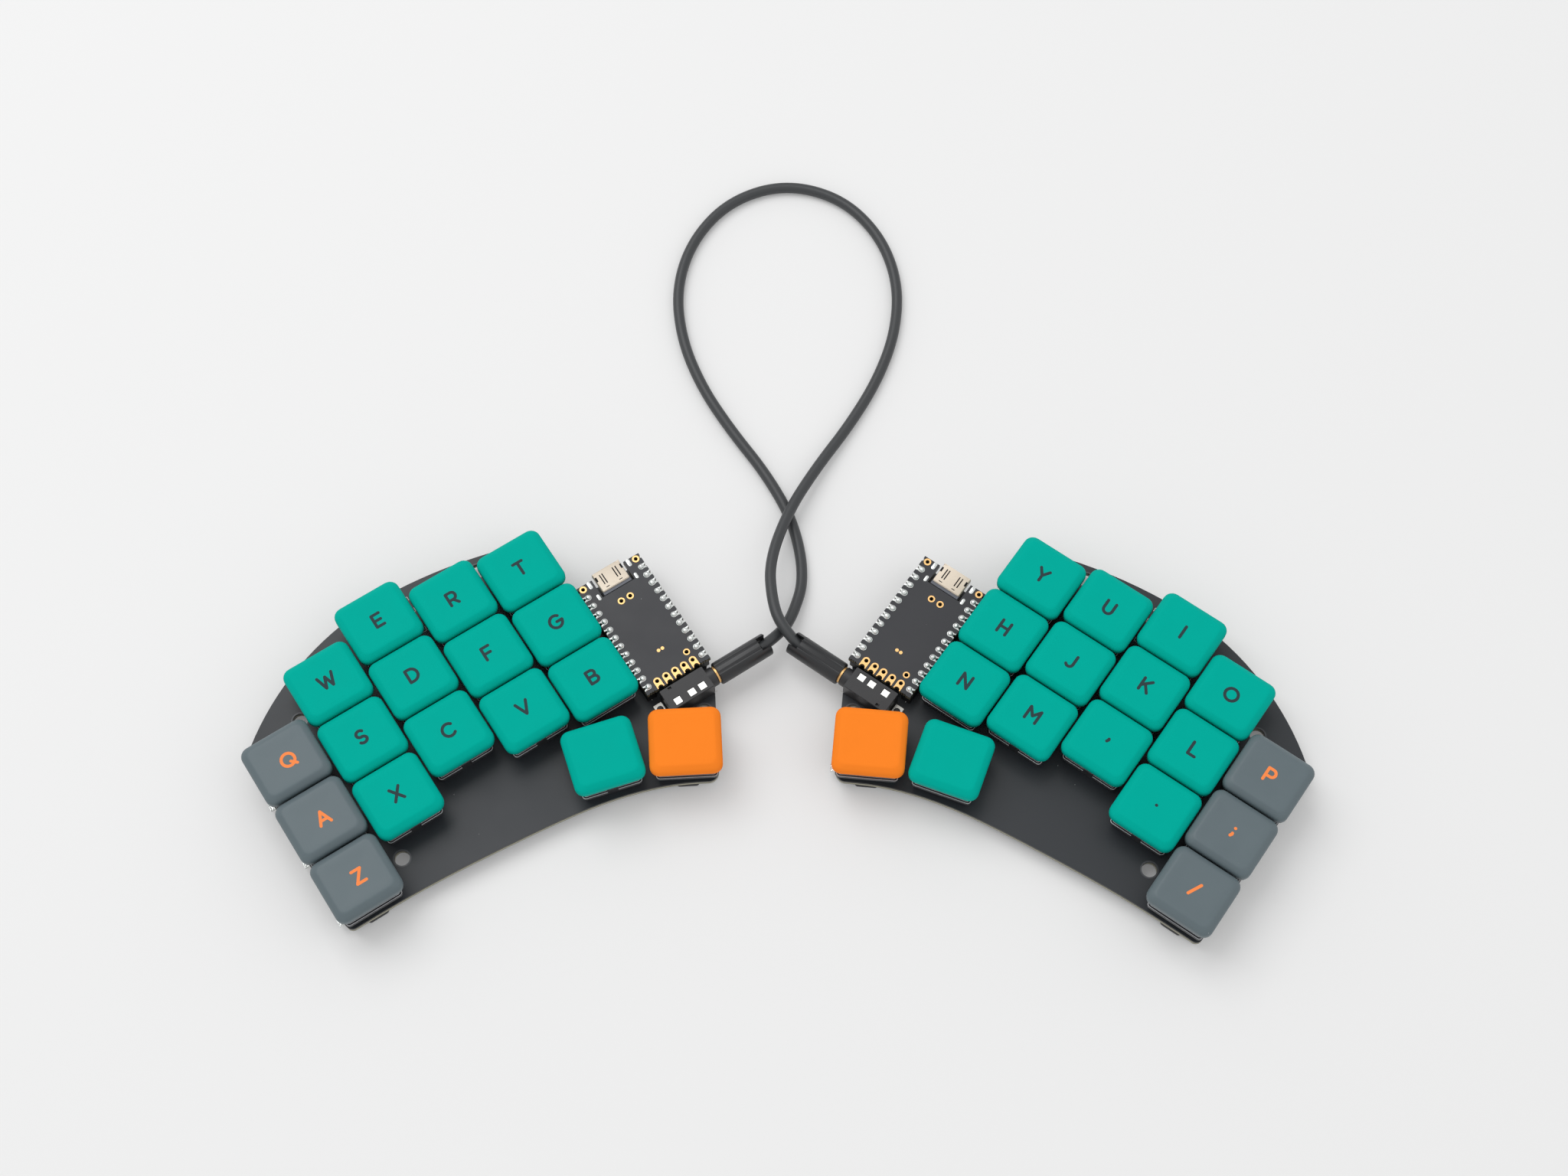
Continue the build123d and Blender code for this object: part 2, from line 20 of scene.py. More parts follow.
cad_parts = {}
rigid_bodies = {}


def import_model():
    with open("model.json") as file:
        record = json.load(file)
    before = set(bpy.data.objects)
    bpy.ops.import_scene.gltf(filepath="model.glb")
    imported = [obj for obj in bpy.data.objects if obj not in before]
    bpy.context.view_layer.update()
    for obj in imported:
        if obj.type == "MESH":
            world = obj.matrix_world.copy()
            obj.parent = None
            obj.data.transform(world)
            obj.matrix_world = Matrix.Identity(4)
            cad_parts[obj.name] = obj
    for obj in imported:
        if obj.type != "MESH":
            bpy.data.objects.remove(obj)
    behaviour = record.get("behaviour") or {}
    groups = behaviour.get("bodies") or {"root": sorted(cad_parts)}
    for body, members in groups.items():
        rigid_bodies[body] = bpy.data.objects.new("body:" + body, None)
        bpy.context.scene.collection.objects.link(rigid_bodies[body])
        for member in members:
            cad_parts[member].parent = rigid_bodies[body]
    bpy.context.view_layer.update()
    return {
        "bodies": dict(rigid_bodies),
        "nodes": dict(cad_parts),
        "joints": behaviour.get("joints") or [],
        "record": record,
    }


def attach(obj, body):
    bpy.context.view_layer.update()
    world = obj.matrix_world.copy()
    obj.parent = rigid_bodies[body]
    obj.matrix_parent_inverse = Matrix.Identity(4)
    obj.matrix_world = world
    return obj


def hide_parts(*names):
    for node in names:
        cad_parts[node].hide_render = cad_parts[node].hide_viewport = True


LOG = logging.getLogger("keyboard")
MM = 0.001
BOARD_TOP = 4.6
BOARD_THICKNESS = 1.6

Point = tuple[float, float]
Ring = list[Vector]
Color = tuple[float, float, float]
Spot = tuple[float, float, float]
Block = tuple[Point, Point, float, float]
Input = float | str | tuple[float, ...] | bpy.types.NodeSocket
CORNERS: tuple[Point, ...] = ((1, 1), (-1, 1), (-1, -1), (1, -1))
IDENTITY = Matrix.Identity(4)


class Anchor(Enum):
    """The bodies that pieces ride on."""

    BASE = "keyboard"


class Hand(Enum):
    """Which way a half points: the sign of its local X axis."""

    LEFT = 1
    RIGHT = -1


# Frames of the two halves


@dataclass(frozen=True)
class Half:
    """One half of the keyboard and its place on the desk."""

    name: str
    hand: Hand
    origin: Point
    turn: float
    rows: tuple[tuple[str, ...], ...]
    outer_thumb_pins_north: bool

    def frame(self) -> Matrix:
        """Give the matrix from local millimetres to metres in the shared frame, not mirrored.

        Returns:
            The half's frame.
        """
        move = Matrix.Translation(Vector((self.origin[0], self.origin[1], BOARD_TOP)) * MM)
        turn = Matrix.Rotation(math.radians(self.turn), 4, "Z")
        return move @ turn @ Matrix.Diagonal((MM, MM, MM, 1.0))

    def mirrored(self) -> Matrix:
        """Give the matrix from the left half's local millimetres, mirrored on the right half."""
        return self.frame() @ Matrix.Diagonal((self.hand.value, 1.0, 1.0, 1.0))

    def spot(self, x: float, y: float, turn: float = 0.0) -> Matrix:
        """Give the matrix of a piece that is turned but not mirrored, such as a key.

        Args:
            x: its place across, on the left half.
            y: its place along the columns.
            turn: its turn in degrees, on the left half.

        Returns:
            The matrix from the piece's millimetres to the shared frame.
        """
        sign = self.hand.value
        place = Matrix.Translation((sign * x, y, 0.0))
        return self.frame() @ place @ Matrix.Rotation(math.radians(sign * turn), 4, "Z")


LEFT_HALF = Half(
    "left", Hand.LEFT, (-97.09, 26.72), 33.2, (tuple("qwert"), tuple("asdfg"), tuple("zxcvb")), True
)
RIGHT_HALF = Half(
    "right",
    Hand.RIGHT,
    (98.32, 23.57),
    -35.37,
    (("p", "o", "i", "u", "y"), ("semicolon", "l", "k", "j", "h"), ("slash", "period", "comma", "m", "n")),
    False,
)


@dataclass(frozen=True)
class KeyLayout:
    """Where the keys of a half are."""

    column_pitch: float = 18.0
    row_pitch: float = 17.0
    drops: tuple[float, ...] = (19.33, 7.12, 0.0, 4.97, 7.10)
    north_columns: tuple[int, ...] = (1, 2, 3)
    outer_thumb: tuple[float, float, float] = (27.82, -58.97, -15.0)
    inner_thumb: tuple[float, float, float] = (46.16, -66.61, -30.0)

    def keys(self, half: Half) -> dict[str, tuple[float, float, float, bool]]:
        """List the keys of a half.

        Args:
            half: the half whose keys are listed.

        Returns:
            Each key's name with its x, y and turn, and whether its switch pins point up the column.
        """
        spots = {}
        for column, drop in enumerate(self.drops):
            for row in range(3):
                x = (column - 2) * self.column_pitch
                y = -(drop + row * self.row_pitch)
                spots[half.rows[row][column]] = (x, y, 0.0, column in self.north_columns)
        spots[f"{half.name}_outer_thumb"] = (*self.outer_thumb, half.outer_thumb_pins_north)
        spots[f"{half.name}_inner_thumb"] = (*self.inner_thumb, False)
        return spots

    def switch_spots(self, half: Half) -> list[Matrix]:
        """Find the switches, turned so that their pins are at local +Y.

        Args:
            half: the half whose switches are found.

        Returns:
            Each switch's matrix.
        """
        places = []
        for x, y, turn, north in self.keys(half).values():
            places.append(half.spot(x, y, turn if north else turn + 180.0))
        return places


LAYOUT = KeyLayout()


# Shared shader effects


class Wiring:
    """Adds nodes to one node tree and links them."""

    def __init__(self, tree: bpy.types.NodeTree) -> None:
        """Take the tree that is wired."""
        self.tree = tree

    def put(self, node: bpy.types.Node, label: str | int, value: Input) -> None:
        """Set one input of a node.

        Args:
            node: the node.
            label: name or number of its input.
            value: the value, or the socket that feeds it.
        """
        if isinstance(value, bpy.types.NodeSocket):
            self.tree.links.new(value, node.inputs[label])
        else:
            node.inputs[label].default_value = value

    def add(
        self,
        kind: str,
        inputs: dict[str | int, Input] | None = None,
        **settings: str | bpy.types.NodeTree,
    ) -> bpy.types.Node:
        """Add a node.

        Args:
            kind: the node's type.
            inputs: names or numbers of its inputs, each with its value or the socket that feeds it.
            settings: the node's own settings, which are made before its inputs.

        Returns:
            The new node.
        """
        node = self.tree.nodes.new(kind)
        for name, value in settings.items():
            setattr(node, name, value)
        for label, value in (inputs or {}).items():
            self.put(node, label, value)
        return node

    def math(self, operation: str, *values: Input) -> bpy.types.NodeSocket:
        """Add a math node on some values and give its result."""
        return self.add("ShaderNodeMath", dict(enumerate(values)), operation=operation).outputs[0]

    def mix(self, factor: Input, low: Input, high: Input) -> bpy.types.NodeSocket:
        """Mix two colours and give the result.

        Args:
            factor: the share of the second colour.
            low: the first colour.
            high: the second colour.

        Returns:
            The mixed colour's socket.
        """
        inputs = {"Factor": factor, "A": low, "B": high}
        return self.add("ShaderNodeMix", inputs, data_type="RGBA").outputs["Result"]


class Effects:
    """Shader node groups that several finishes share, each built once."""

    _groups: dict[str, bpy.types.NodeTree] = {}

    @staticmethod
    def _new(name: str, inputs: dict[str, float | Color], outputs: tuple[str, ...]) -> bpy.types.NodeTree:
        """Make an empty group; an input or output whose name ends in Color is a colour.

        Args:
            name: the group's name.
            inputs: each input's name and default.
            outputs: the outputs' names.

        Returns:
            The new node group.
        """
        kinds = {True: "NodeSocketColor", False: "NodeSocketFloat"}
        tree = bpy.data.node_groups.new(name, "ShaderNodeTree")
        for label, value in inputs.items():
            colored = label.endswith("Color")
            socket = tree.interface.new_socket(label, in_out="INPUT", socket_type=kinds[colored])
            socket.default_value = (*value, 1.0) if colored else value
        for label in outputs:
            tree.interface.new_socket(label, in_out="OUTPUT", socket_type=kinds[label.endswith("Color")])
        return tree

    @classmethod
    def grain(cls) -> bpy.types.NodeTree:
        """Give the group for moulded or sprayed grain: a fine height and a slow drift of tone.

        Returns:
            The node group.
        """
        if "grain" not in cls._groups:
            tree = cls._new(
                "surface_grain",
                {"Base Color": (0.5, 0.5, 0.5), "Grain Size": 0.15, "Drift Size": 6.0, "Drift": 0.06},
                ("Color", "Height", "Rough Drift"),
            )
            wiring = Wiring(tree)
            source = wiring.add("NodeGroupInput").outputs
            place = wiring.add("ShaderNodeTexCoord").outputs["Object"]
            noises = []
            for label in ("Grain Size", "Drift Size"):
                scale = wiring.math("DIVIDE", 1 / MM, source[label])
                noise = wiring.add("ShaderNodeTexNoise", {"Vector": place, "Scale": scale, "Detail": 2.0})
                noises.append(noise.outputs["Fac"])
            centred = wiring.math("SUBTRACT", noises[1], 0.5)
            drift = wiring.math("MULTIPLY_ADD", centred, source["Drift"], 1.0)
            tinted = {0: source["Base Color"], "Scale": drift}
            tint = wiring.add("ShaderNodeVectorMath", tinted, operation="SCALE").outputs[0]
            wiring.add("NodeGroupOutput", {"Color": tint, "Height": noises[0], "Rough Drift": noises[1]})
            cls._groups["grain"] = tree
        return cls._groups["grain"]

    @classmethod
    def dust(cls) -> bpy.types.NodeTree:
        """Give the group for sparse pale specks of dust.

        Returns:
            The node group.
        """
        if "dust" not in cls._groups:
            inputs = {"Surface Color": (0.5, 0.5, 0.5), "Dust Color": (0.7, 0.7, 0.68)}
            tree = cls._new("dust_specks", {**inputs, "Spacing": 4.0, "Speck": 0.03}, ("Color",))
            wiring = Wiring(tree)
            source = wiring.add("NodeGroupInput").outputs
            place = wiring.add("ShaderNodeTexCoord").outputs["Object"]
            scale = wiring.math("DIVIDE", 1 / MM, source["Spacing"])
            cells = wiring.add("ShaderNodeTexVoronoi", {"Vector": place, "Scale": scale})
            speck = wiring.math("LESS_THAN", cells.outputs["Distance"], source["Speck"])
            mixed = wiring.mix(speck, source["Surface Color"], source["Dust Color"])
            wiring.add("NodeGroupOutput", {"Color": mixed})
            cls._groups["dust"] = tree
        return cls._groups["dust"]


def srgb(red: int, green: int, blue: int) -> Color:
    """Turn a display colour into linear light.

    Args:
        red: red channel, 0 to 255.
        green: green channel.
        blue: blue channel.

    Returns:
        The three channels, 0 to 1.
    """
    channels = []
    for value in (red, green, blue):
        share = value / 255.0
        channels.append(share / 12.92 if share <= 0.04045 else ((share + 0.055) / 1.055) ** 2.4)
    return tuple(channels)


# Finishes


@dataclass(frozen=True)
class Finish:
    """A surface finish: colour, gloss, moulded grain, slow tone drift and, where wanted, dust."""

    name: str
    slot: str
    color: Color
    roughness: float = 0.5
    metallic: float = 0.0
    grain_size: float = 0.15
    grain_depth: float = 0.004
    drift_size: float = 6.0
    drift: float = 0.08
    rough_spread: float = 0.08
    specular: float = 0.5
    dust: float = 0.0
    dust_spacing: float = 4.0

    def material(self) -> bpy.types.Material:
        """Give the finish's material, built the first time.

        Returns:
            The material.
        """
        found = bpy.data.materials.get(self.name)
        if found:
            return found
        material = bpy.data.materials.new(self.name)
        material.use_nodes = True
        wiring = Wiring(material.node_tree)
        inputs = {
            "Base Color": (*self.color, 1.0),
            "Grain Size": self.grain_size,
            "Drift Size": self.drift_size,
            "Drift": self.drift,
        }
        grain = wiring.add("ShaderNodeGroup", inputs, node_tree=Effects.grain()).outputs
        color = grain["Color"]
        if self.dust:
            inputs = {"Surface Color": color, "Spacing": self.dust_spacing, "Speck": self.dust}
            color = wiring.add("ShaderNodeGroup", inputs, node_tree=Effects.dust()).outputs["Color"]
        inputs = {
            "Value": grain["Rough Drift"],
            "To Min": max(0.0, self.roughness - self.rough_spread),
            "To Max": min(1.0, self.roughness + self.rough_spread),
        }
        gloss = wiring.add("ShaderNodeMapRange", inputs).outputs["Result"]
        bump = wiring.add("ShaderNodeBump", {"Distance": self.grain_depth * MM, "Height": grain["Height"]})
        surface = {
            "Base Color": self.painted(wiring, color),
            "Roughness": gloss,
            "Normal": bump.outputs["Normal"],
            "Metallic": self.metallic,
            "Specular IOR Level": self.specular,
        }
        for label, value in surface.items():
            wiring.put(material.node_tree.nodes["Principled BSDF"], label, value)
        return material

    def painted(self, wiring: Wiring, color: bpy.types.NodeSocket) -> bpy.types.NodeSocket:
        """Let a kind of finish change the colour that goes to the shader; this one keeps it."""
        return color


@dataclass(frozen=True)
class BoardFinish(Finish):
    """Solder mask on a board's two faces, and a sawn edge that is dark, partly the mask's colour and partly
    painted shade, with a pale line of bare laminate.
    """

    edge: Color = srgb(176, 172, 146)
    # Dark colour of the upright edge: the black mask's colour, and painted shade at the edge's foot.
    edge_mask_and_shade: Color = srgb(58, 57, 50)
    line_height: float = 3.5
    line_width: float = 0.5

    def painted(self, wiring: Wiring, color: bpy.types.NodeSocket) -> bpy.types.NodeSocket:
        """Mix the laminate's colour in where the face is upright.

        Args:
            wiring: the material's wiring.
            color: the mask's colour.

        Returns:
            The mixed colour's socket.
        """
        facing = wiring.add("ShaderNodeNewGeometry").outputs["True Normal"]
        normal = wiring.add("ShaderNodeSeparateXYZ", {0: facing}).outputs
        flat = wiring.math("GREATER_THAN", wiring.math("ABSOLUTE", normal["Z"]), 0.5)
        spot = wiring.add("ShaderNodeTexCoord").outputs["Object"]
        height = wiring.add("ShaderNodeSeparateXYZ", {0: spot}).outputs["Z"]
        line = wiring.math("COMPARE", height, self.line_height * MM, self.line_width / 2 * MM)
        # Upright faces take the dark colour, partly mask and partly painted shade, except at the pale
        # laminate line.
        side = wiring.mix(line, (*self.edge_mask_and_shade, 1.0), (*self.edge, 1.0))
        return wiring.mix(flat, side, color)


CAP_TEAL = Finish(
    "teal_cap_plastic", "cap_teal", srgb(0, 172, 156), 0.6, grain_size=0.12, drift=0.05, specular=0.03
)
CAP_ORANGE = Finish(
    "orange_cap_plastic", "cap_orange", srgb(255, 136, 42), 0.6, grain_size=0.12, drift=0.05, specular=0.02
)
CAP_GRAY = Finish(
    "gray_cap_plastic", "cap_gray", srgb(96, 109, 114), 0.42, grain_size=0.12, dust=0.02, specular=0.35
)
LEGEND_DARK = Finish(
    "legend_dark", "cap_teal", srgb(42, 60, 64), 0.6, drift=0.2, drift_size=0.6, specular=0.2
)
LEGEND_ORANGE = Finish(
    "legend_orange", "cap_gray", srgb(255, 142, 76), 0.6, drift=0.1, drift_size=0.6, specular=0.2
)
STEM_PLASTIC = Finish("stem_plastic", "switch_gray", srgb(196, 192, 184), 0.35)
BASE_PLASTIC = Finish("switch_base_plastic", "switch_black", srgb(44, 45, 48), 0.4)
COVER_PLASTIC = Finish("switch_cover_plastic", "switch_gray", srgb(98, 100, 106), 0.22, specular=0.6)
# Painted highlight: pale opaque lines along the switch flanges stand for light caught on their edges.
FLANGE_HIGHLIGHT_PAINT = Finish(
    "switch_flange_painted_highlight", "switch_gray", srgb(204, 205, 208), 0.25, drift=0.3, drift_size=1.5
)
SOCKET_PLASTIC = Finish("socket_plastic", "socket_black", srgb(32, 32, 34), 0.55)
MASK = BoardFinish(
    "board_mask", "board_black", srgb(38, 42, 47), 0.42, grain_size=0.3, grain_depth=0.002, drift_size=14.0,
    drift=0.1, dust=0.02, dust_spacing=3.5,
)
CONTROLLER_MASK = BoardFinish(
    "controller_mask", "controller_black", srgb(40, 41, 46), 0.4, grain_size=0.25, grain_depth=0.002,
    drift=0.1, dust=0.02, dust_spacing=2.5, edge=srgb(120, 112, 84), line_height=9.3,
)
HOLE_RING = Finish("hole_ring", "board_black", srgb(78, 80, 84), 0.4)
SILK = Finish("silkscreen_ink", "board_black", srgb(214, 214, 210), 0.6, drift=0.15, drift_size=0.5)
SOLDER = Finish(
    "joint_solder", "solder", srgb(230, 233, 231), 0.22, 0.7, grain_size=0.5, grain_depth=0.1, drift_size=0.8,
    drift=0.2, rough_spread=0.1,
)
GOLD = Finish("gold_plate", "plug_gold", srgb(244, 196, 130), 0.35, 0.8, grain_size=0.1, grain_depth=0.003)
PORT_STEEL = Finish(
    "port_shell_steel", "port_steel", srgb(218, 205, 187), 0.4, 0.3, grain_size=0.2, grain_depth=0.006,
    drift_size=2.0, drift=0.15,
)
PORT_DARK = Finish("port_dark", "strip_black", srgb(16, 16, 18), 0.6, specular=0.2)
PORT_GRAY = Finish("port_gray", "controller_black", srgb(92, 95, 104), 0.4)
STRIP_PLASTIC = Finish("header_plastic", "strip_black", srgb(24, 24, 26), 0.5)
JACK_PLASTIC = Finish(
    "jack_plastic", "jack_black", srgb(44, 44, 46), 0.42, grain_size=0.1, grain_depth=0.006, drift=0.15
)
CONTACT = Finish("contact_plate", "contact_steel", srgb(224, 224, 220), 0.24, 1.0, drift=0.1, drift_size=1.0)
PLUG_PLASTIC = Finish("plug_plastic", "plug_black", srgb(40, 41, 43), 0.32, grain_size=0.1, drift=0.12)
CABLE_JACKET = Finish(
    "cable_jacket", "cable_black", srgb(58, 60, 62), 0.42, grain_size=0.25, grain_depth=0.008, drift_size=9.0
)
FOOT_RUBBER = Finish("foot_soft_rubber", "foot_rubber", srgb(38, 38, 40), 0.75, grain_depth=0.01)
RESET_PLATE = Finish("reset_plate", "reset_gray", srgb(190, 188, 182), 0.35, 0.8, drift_size=1.0)
RESET_BLACK = Finish("reset_actuator", "reset_black", srgb(20, 20, 22), 0.45)


# Mesh making


def in_scene(name: str, data: bpy.types.ID) -> bpy.types.Object:
    """Put some data in the scene.

    Args:
        name: the new object's name.
        data: what it shows.

    Returns:
        The new object.
    """
    made = bpy.data.objects.new(name, data)
    bpy.context.scene.collection.objects.link(made)
    return made


def sweep(centre: Point, across: float, up: float, start: float, end: float, steps: int) -> list[Point]:
    """Give points along an ellipse's arc.

    Args:
        centre: the ellipse's middle.
        across: its half width.
        up: its half height.
        start: first angle in degrees.
        end: last angle in degrees.
        steps: number of stretches between points.

    Returns:
        The points, with both ends.
    """
    angles = [math.radians(start + (end - start) * step / steps) for step in range(steps + 1)]
    return [(centre[0] + across * math.cos(angle), centre[1] + up * math.sin(angle)) for angle in angles]


def circle(radius: float, centre: Point = (0.0, 0.0), steps: int = 32) -> list[Point]:
    """Give a circle's points, counter-clockwise."""
    return sweep(centre, radius, radius, 0.0, 360.0, steps)[:-1]


def moved(outline: list[Point], x: float, y: float) -> list[Point]:
    """Give an outline shifted by x and y."""
    return [(x + along, y + across) for along, across in outline]


def rounded_rectangle(length: float, width: float, radius: float, steps: int = 6) -> list[Point]:
    """Give the outline of a rectangle with round corners, counter-clockwise about the origin.

    Args:
        length: size along X.
        width: size along Y.
        radius: corner radius.
        steps: segments in each corner.

    Returns:
        The outline's points.
    """
    points = []
    for corner, (sign_x, sign_y) in enumerate(CORNERS):
        centre = (sign_x * (length / 2 - radius), sign_y * (width / 2 - radius))
        points += sweep(centre, radius, radius, 90.0 * corner, 90.0 * (corner + 1), steps)
    return points


def shrunk(outline: list[Point], by: float) -> list[Point]:
    """Bring an outline in along its corners' bisectors.

    Args:
        outline: the outline, counter-clockwise.
        by: how far its sides move in.

    Returns:
        The smaller outline, with as many points.
    """
    result = []
    count = len(outline)
    for here in range(count):
        x0, y0 = outline[here - 1]
        x1, y1 = outline[here]
        x2, y2 = outline[(here + 1) % count]
        before = Vector((x1 - x0, y1 - y0)).normalized()
        after = Vector((x2 - x1, y2 - y1)).normalized()
        inward = Vector((-before.y - after.y, before.x + after.x))
        reach = max(1e-6, inward.length_squared / 2)
        result.append((x1 + inward.x * by / reach, y1 + inward.y * by / reach))
    return result


class Shape:
    """A mesh in local millimetres that grows by lofts, prisms and plates."""

    def __init__(self, merge: float = 1e-5, sharp: float = 35.0) -> None:
        """Start an empty shape.

        Args:
            merge: distance below which points are merged at the end.
            sharp: edges that turn more than this many degrees stay sharp.
        """
        self.mesh = bmesh.new()
        self.merge = merge
        self.sharp = sharp

    def loft(self, rings: list[Ring], closed: bool = True) -> None:
        """Add a skin through rings that all have the same number of points.

        Args:
            rings: the rings, each counter-clockwise seen from the last one.
            closed: whether the first and the last ring get a face.
        """
        rows = [[self.mesh.verts.new(point) for point in ring] for ring in rings]
        count = len(rows[0])
        for low, high in zip(rows, rows[1:]):
            for here in range(count):
                after = (here + 1) % count
                self.mesh.faces.new((low[here], low[after], high[after], high[here]))
        if closed:
            self.mesh.faces.new(list(reversed(rows[0])))
            self.mesh.faces.new(rows[-1])

    def stack(self, outline_at: list[tuple[list[Point], float]], closed: bool = True) -> None:
        """Add a loft through flat outlines, each with its height."""
        self.loft([[Vector((x, y, height)) for x, y in outline] for outline, height in outline_at], closed)

    def washer(self, outer: list[Point], inner: list[Point], low: float, high: float) -> None:
        """Add a flat ring between two outlines with the same number of points."""
        self.stack([(outer, low), (outer, high), (inner, high), (inner, low), (outer, low)], closed=False)

    def prism(self, outline: list[Point], low: float, high: float, bevel: float = 0.0) -> None:
        """Add a prism on a flat outline, with a small bevel at both ends if wanted.

        Args:
            outline: the outline, counter-clockwise.
            low: height of its lower face.
            high: height of its upper face.
            bevel: width of the bevels, for outlines that are nearly convex.
        """
        if not bevel:
            self.stack([(outline, low), (outline, high)])
            return
        inner = shrunk(outline, bevel)
        self.stack([(inner, low), (outline, low + bevel), (outline, high - bevel), (inner, high)])

    def block(self, centre: Point, size: Point, low: float, high: float, bevel: float = 0.0) -> None:
        """Add a box along the axes, with a small bevel at both ends if wanted.

        Args:
            centre: where its middle is.
            size: its length and width.
            low: height of its lower face.
            high: height of its upper face.
            bevel: width of the bevels.
        """
        length, width = size[0] / 2, size[1] / 2
        self.prism(moved([(x * length, y * width) for x, y in CORNERS], *centre), low, high, bevel)

    def plate(self, outline: list[Point], holes: list[list[Point]], low: float, high: float) -> None:
        """Add a flat plate with holes.

        Args:
            outline: its outer outline.
            holes: the outlines of its holes.
            low: height of its lower face.
            high: height of its upper face.
        """
        curve = bpy.data.curves.new("plate", "CURVE")
        curve.dimensions = "2D"
        curve.fill_mode = "BOTH"
        curve.extrude = (high - low) / 2
        for points in (outline, *holes):
            spline = curve.splines.new("POLY")
            spline.points.add(len(points) - 1)
            for point, (x, y) in zip(spline.points, points):
                point.co = (x, y, 0.0, 1.0)
            spline.use_cyclic_u = True
        holder = in_scene("plate", curve)
        bpy.context.view_layer.update()
        mesh = bpy.data.meshes.new_from_object(holder.evaluated_get(bpy.context.evaluated_depsgraph_get()))
        mesh.transform(Matrix.Translation((0.0, 0.0, (high + low) / 2)))
        self.mesh.from_mesh(mesh)
        bpy.data.objects.remove(holder)
        bpy.data.curves.remove(curve)
        bpy.data.meshes.remove(mesh)

    def to_mesh(self, name: str, place: Matrix) -> bpy.types.Mesh:
        """Close the shape into a mesh.

        Args:
            name: the mesh's name.
            place: matrix to the shared frame.

        Returns:
            The mesh, smooth shaded between its sharp edges.
        """
        bmesh.ops.remove_doubles(self.mesh, verts=self.mesh.verts, dist=self.merge)
        bmesh.ops.recalc_face_normals(self.mesh, faces=self.mesh.faces)
        mesh = bpy.data.meshes.new(name)
        self.mesh.to_mesh(mesh)
        self.mesh.free()
        mesh.transform(place)
        if place.determinant() < 0:
            mesh.flip_normals()
        mesh.polygons.foreach_set("use_smooth", [True] * len(mesh.polygons))
        mesh.set_sharp_from_angle(angle=math.radians(self.sharp))
        return mesh


# Pieces


Part = tuple[str, Shape, Finish, tuple[str, ...]]


class Piece:
    """Puts finished meshes into the scene as pieces that ride on a body."""

    @staticmethod
    def add(
        name: str,
        mesh: bpy.types.Mesh,
        finish: Finish,
        replaces: tuple[str, ...] = (),
        body: str = Anchor.BASE.value,
    ) -> bpy.types.Object:
        """Add one piece.

        Args:
            name: the piece's name.
            mesh: its mesh, already in the shared frame.
            finish: its finish.
            replaces: solid nodes that it stands for.
            body: the body it rides on.

        Returns:
            The new object.
        """
        mesh.materials.clear()
        mesh.materials.append(finish.material())
        piece = in_scene(name, mesh)
        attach(piece, body)
        if replaces:
            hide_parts(*replaces)
        LOG.info("piece %s: %d faces on %s", name, len(mesh.polygons), body)
        return piece

    @classmethod
    def fix(cls, half: Half, place: Matrix, parts: tuple[Part, ...]) -> None:
        """Add fixed pieces of one half.

        Args:
            half: the half, whose name starts each piece's name.
            place: matrix from the shapes' millimetres to the shared frame.
            parts: each piece's name, shape, finish and the solid nodes that it stands for.
        """
        for name, shape, finish, nodes in parts:
            cls.add(f"{half.name}_{name}", shape.to_mesh(name, place), finish, nodes)

    @staticmethod
    def refinish(frame: dict, node: str, finish: Finish) -> None:
        """Give a solid node that keeps its shape a better finish.

        Args:
            frame: the loaded solid model.
            node: the node's name.
            finish: its finish.
        """
        for slot in frame["nodes"][node].material_slots:
            slot.material = finish.material()
        LOG.info("kept node %s", node)


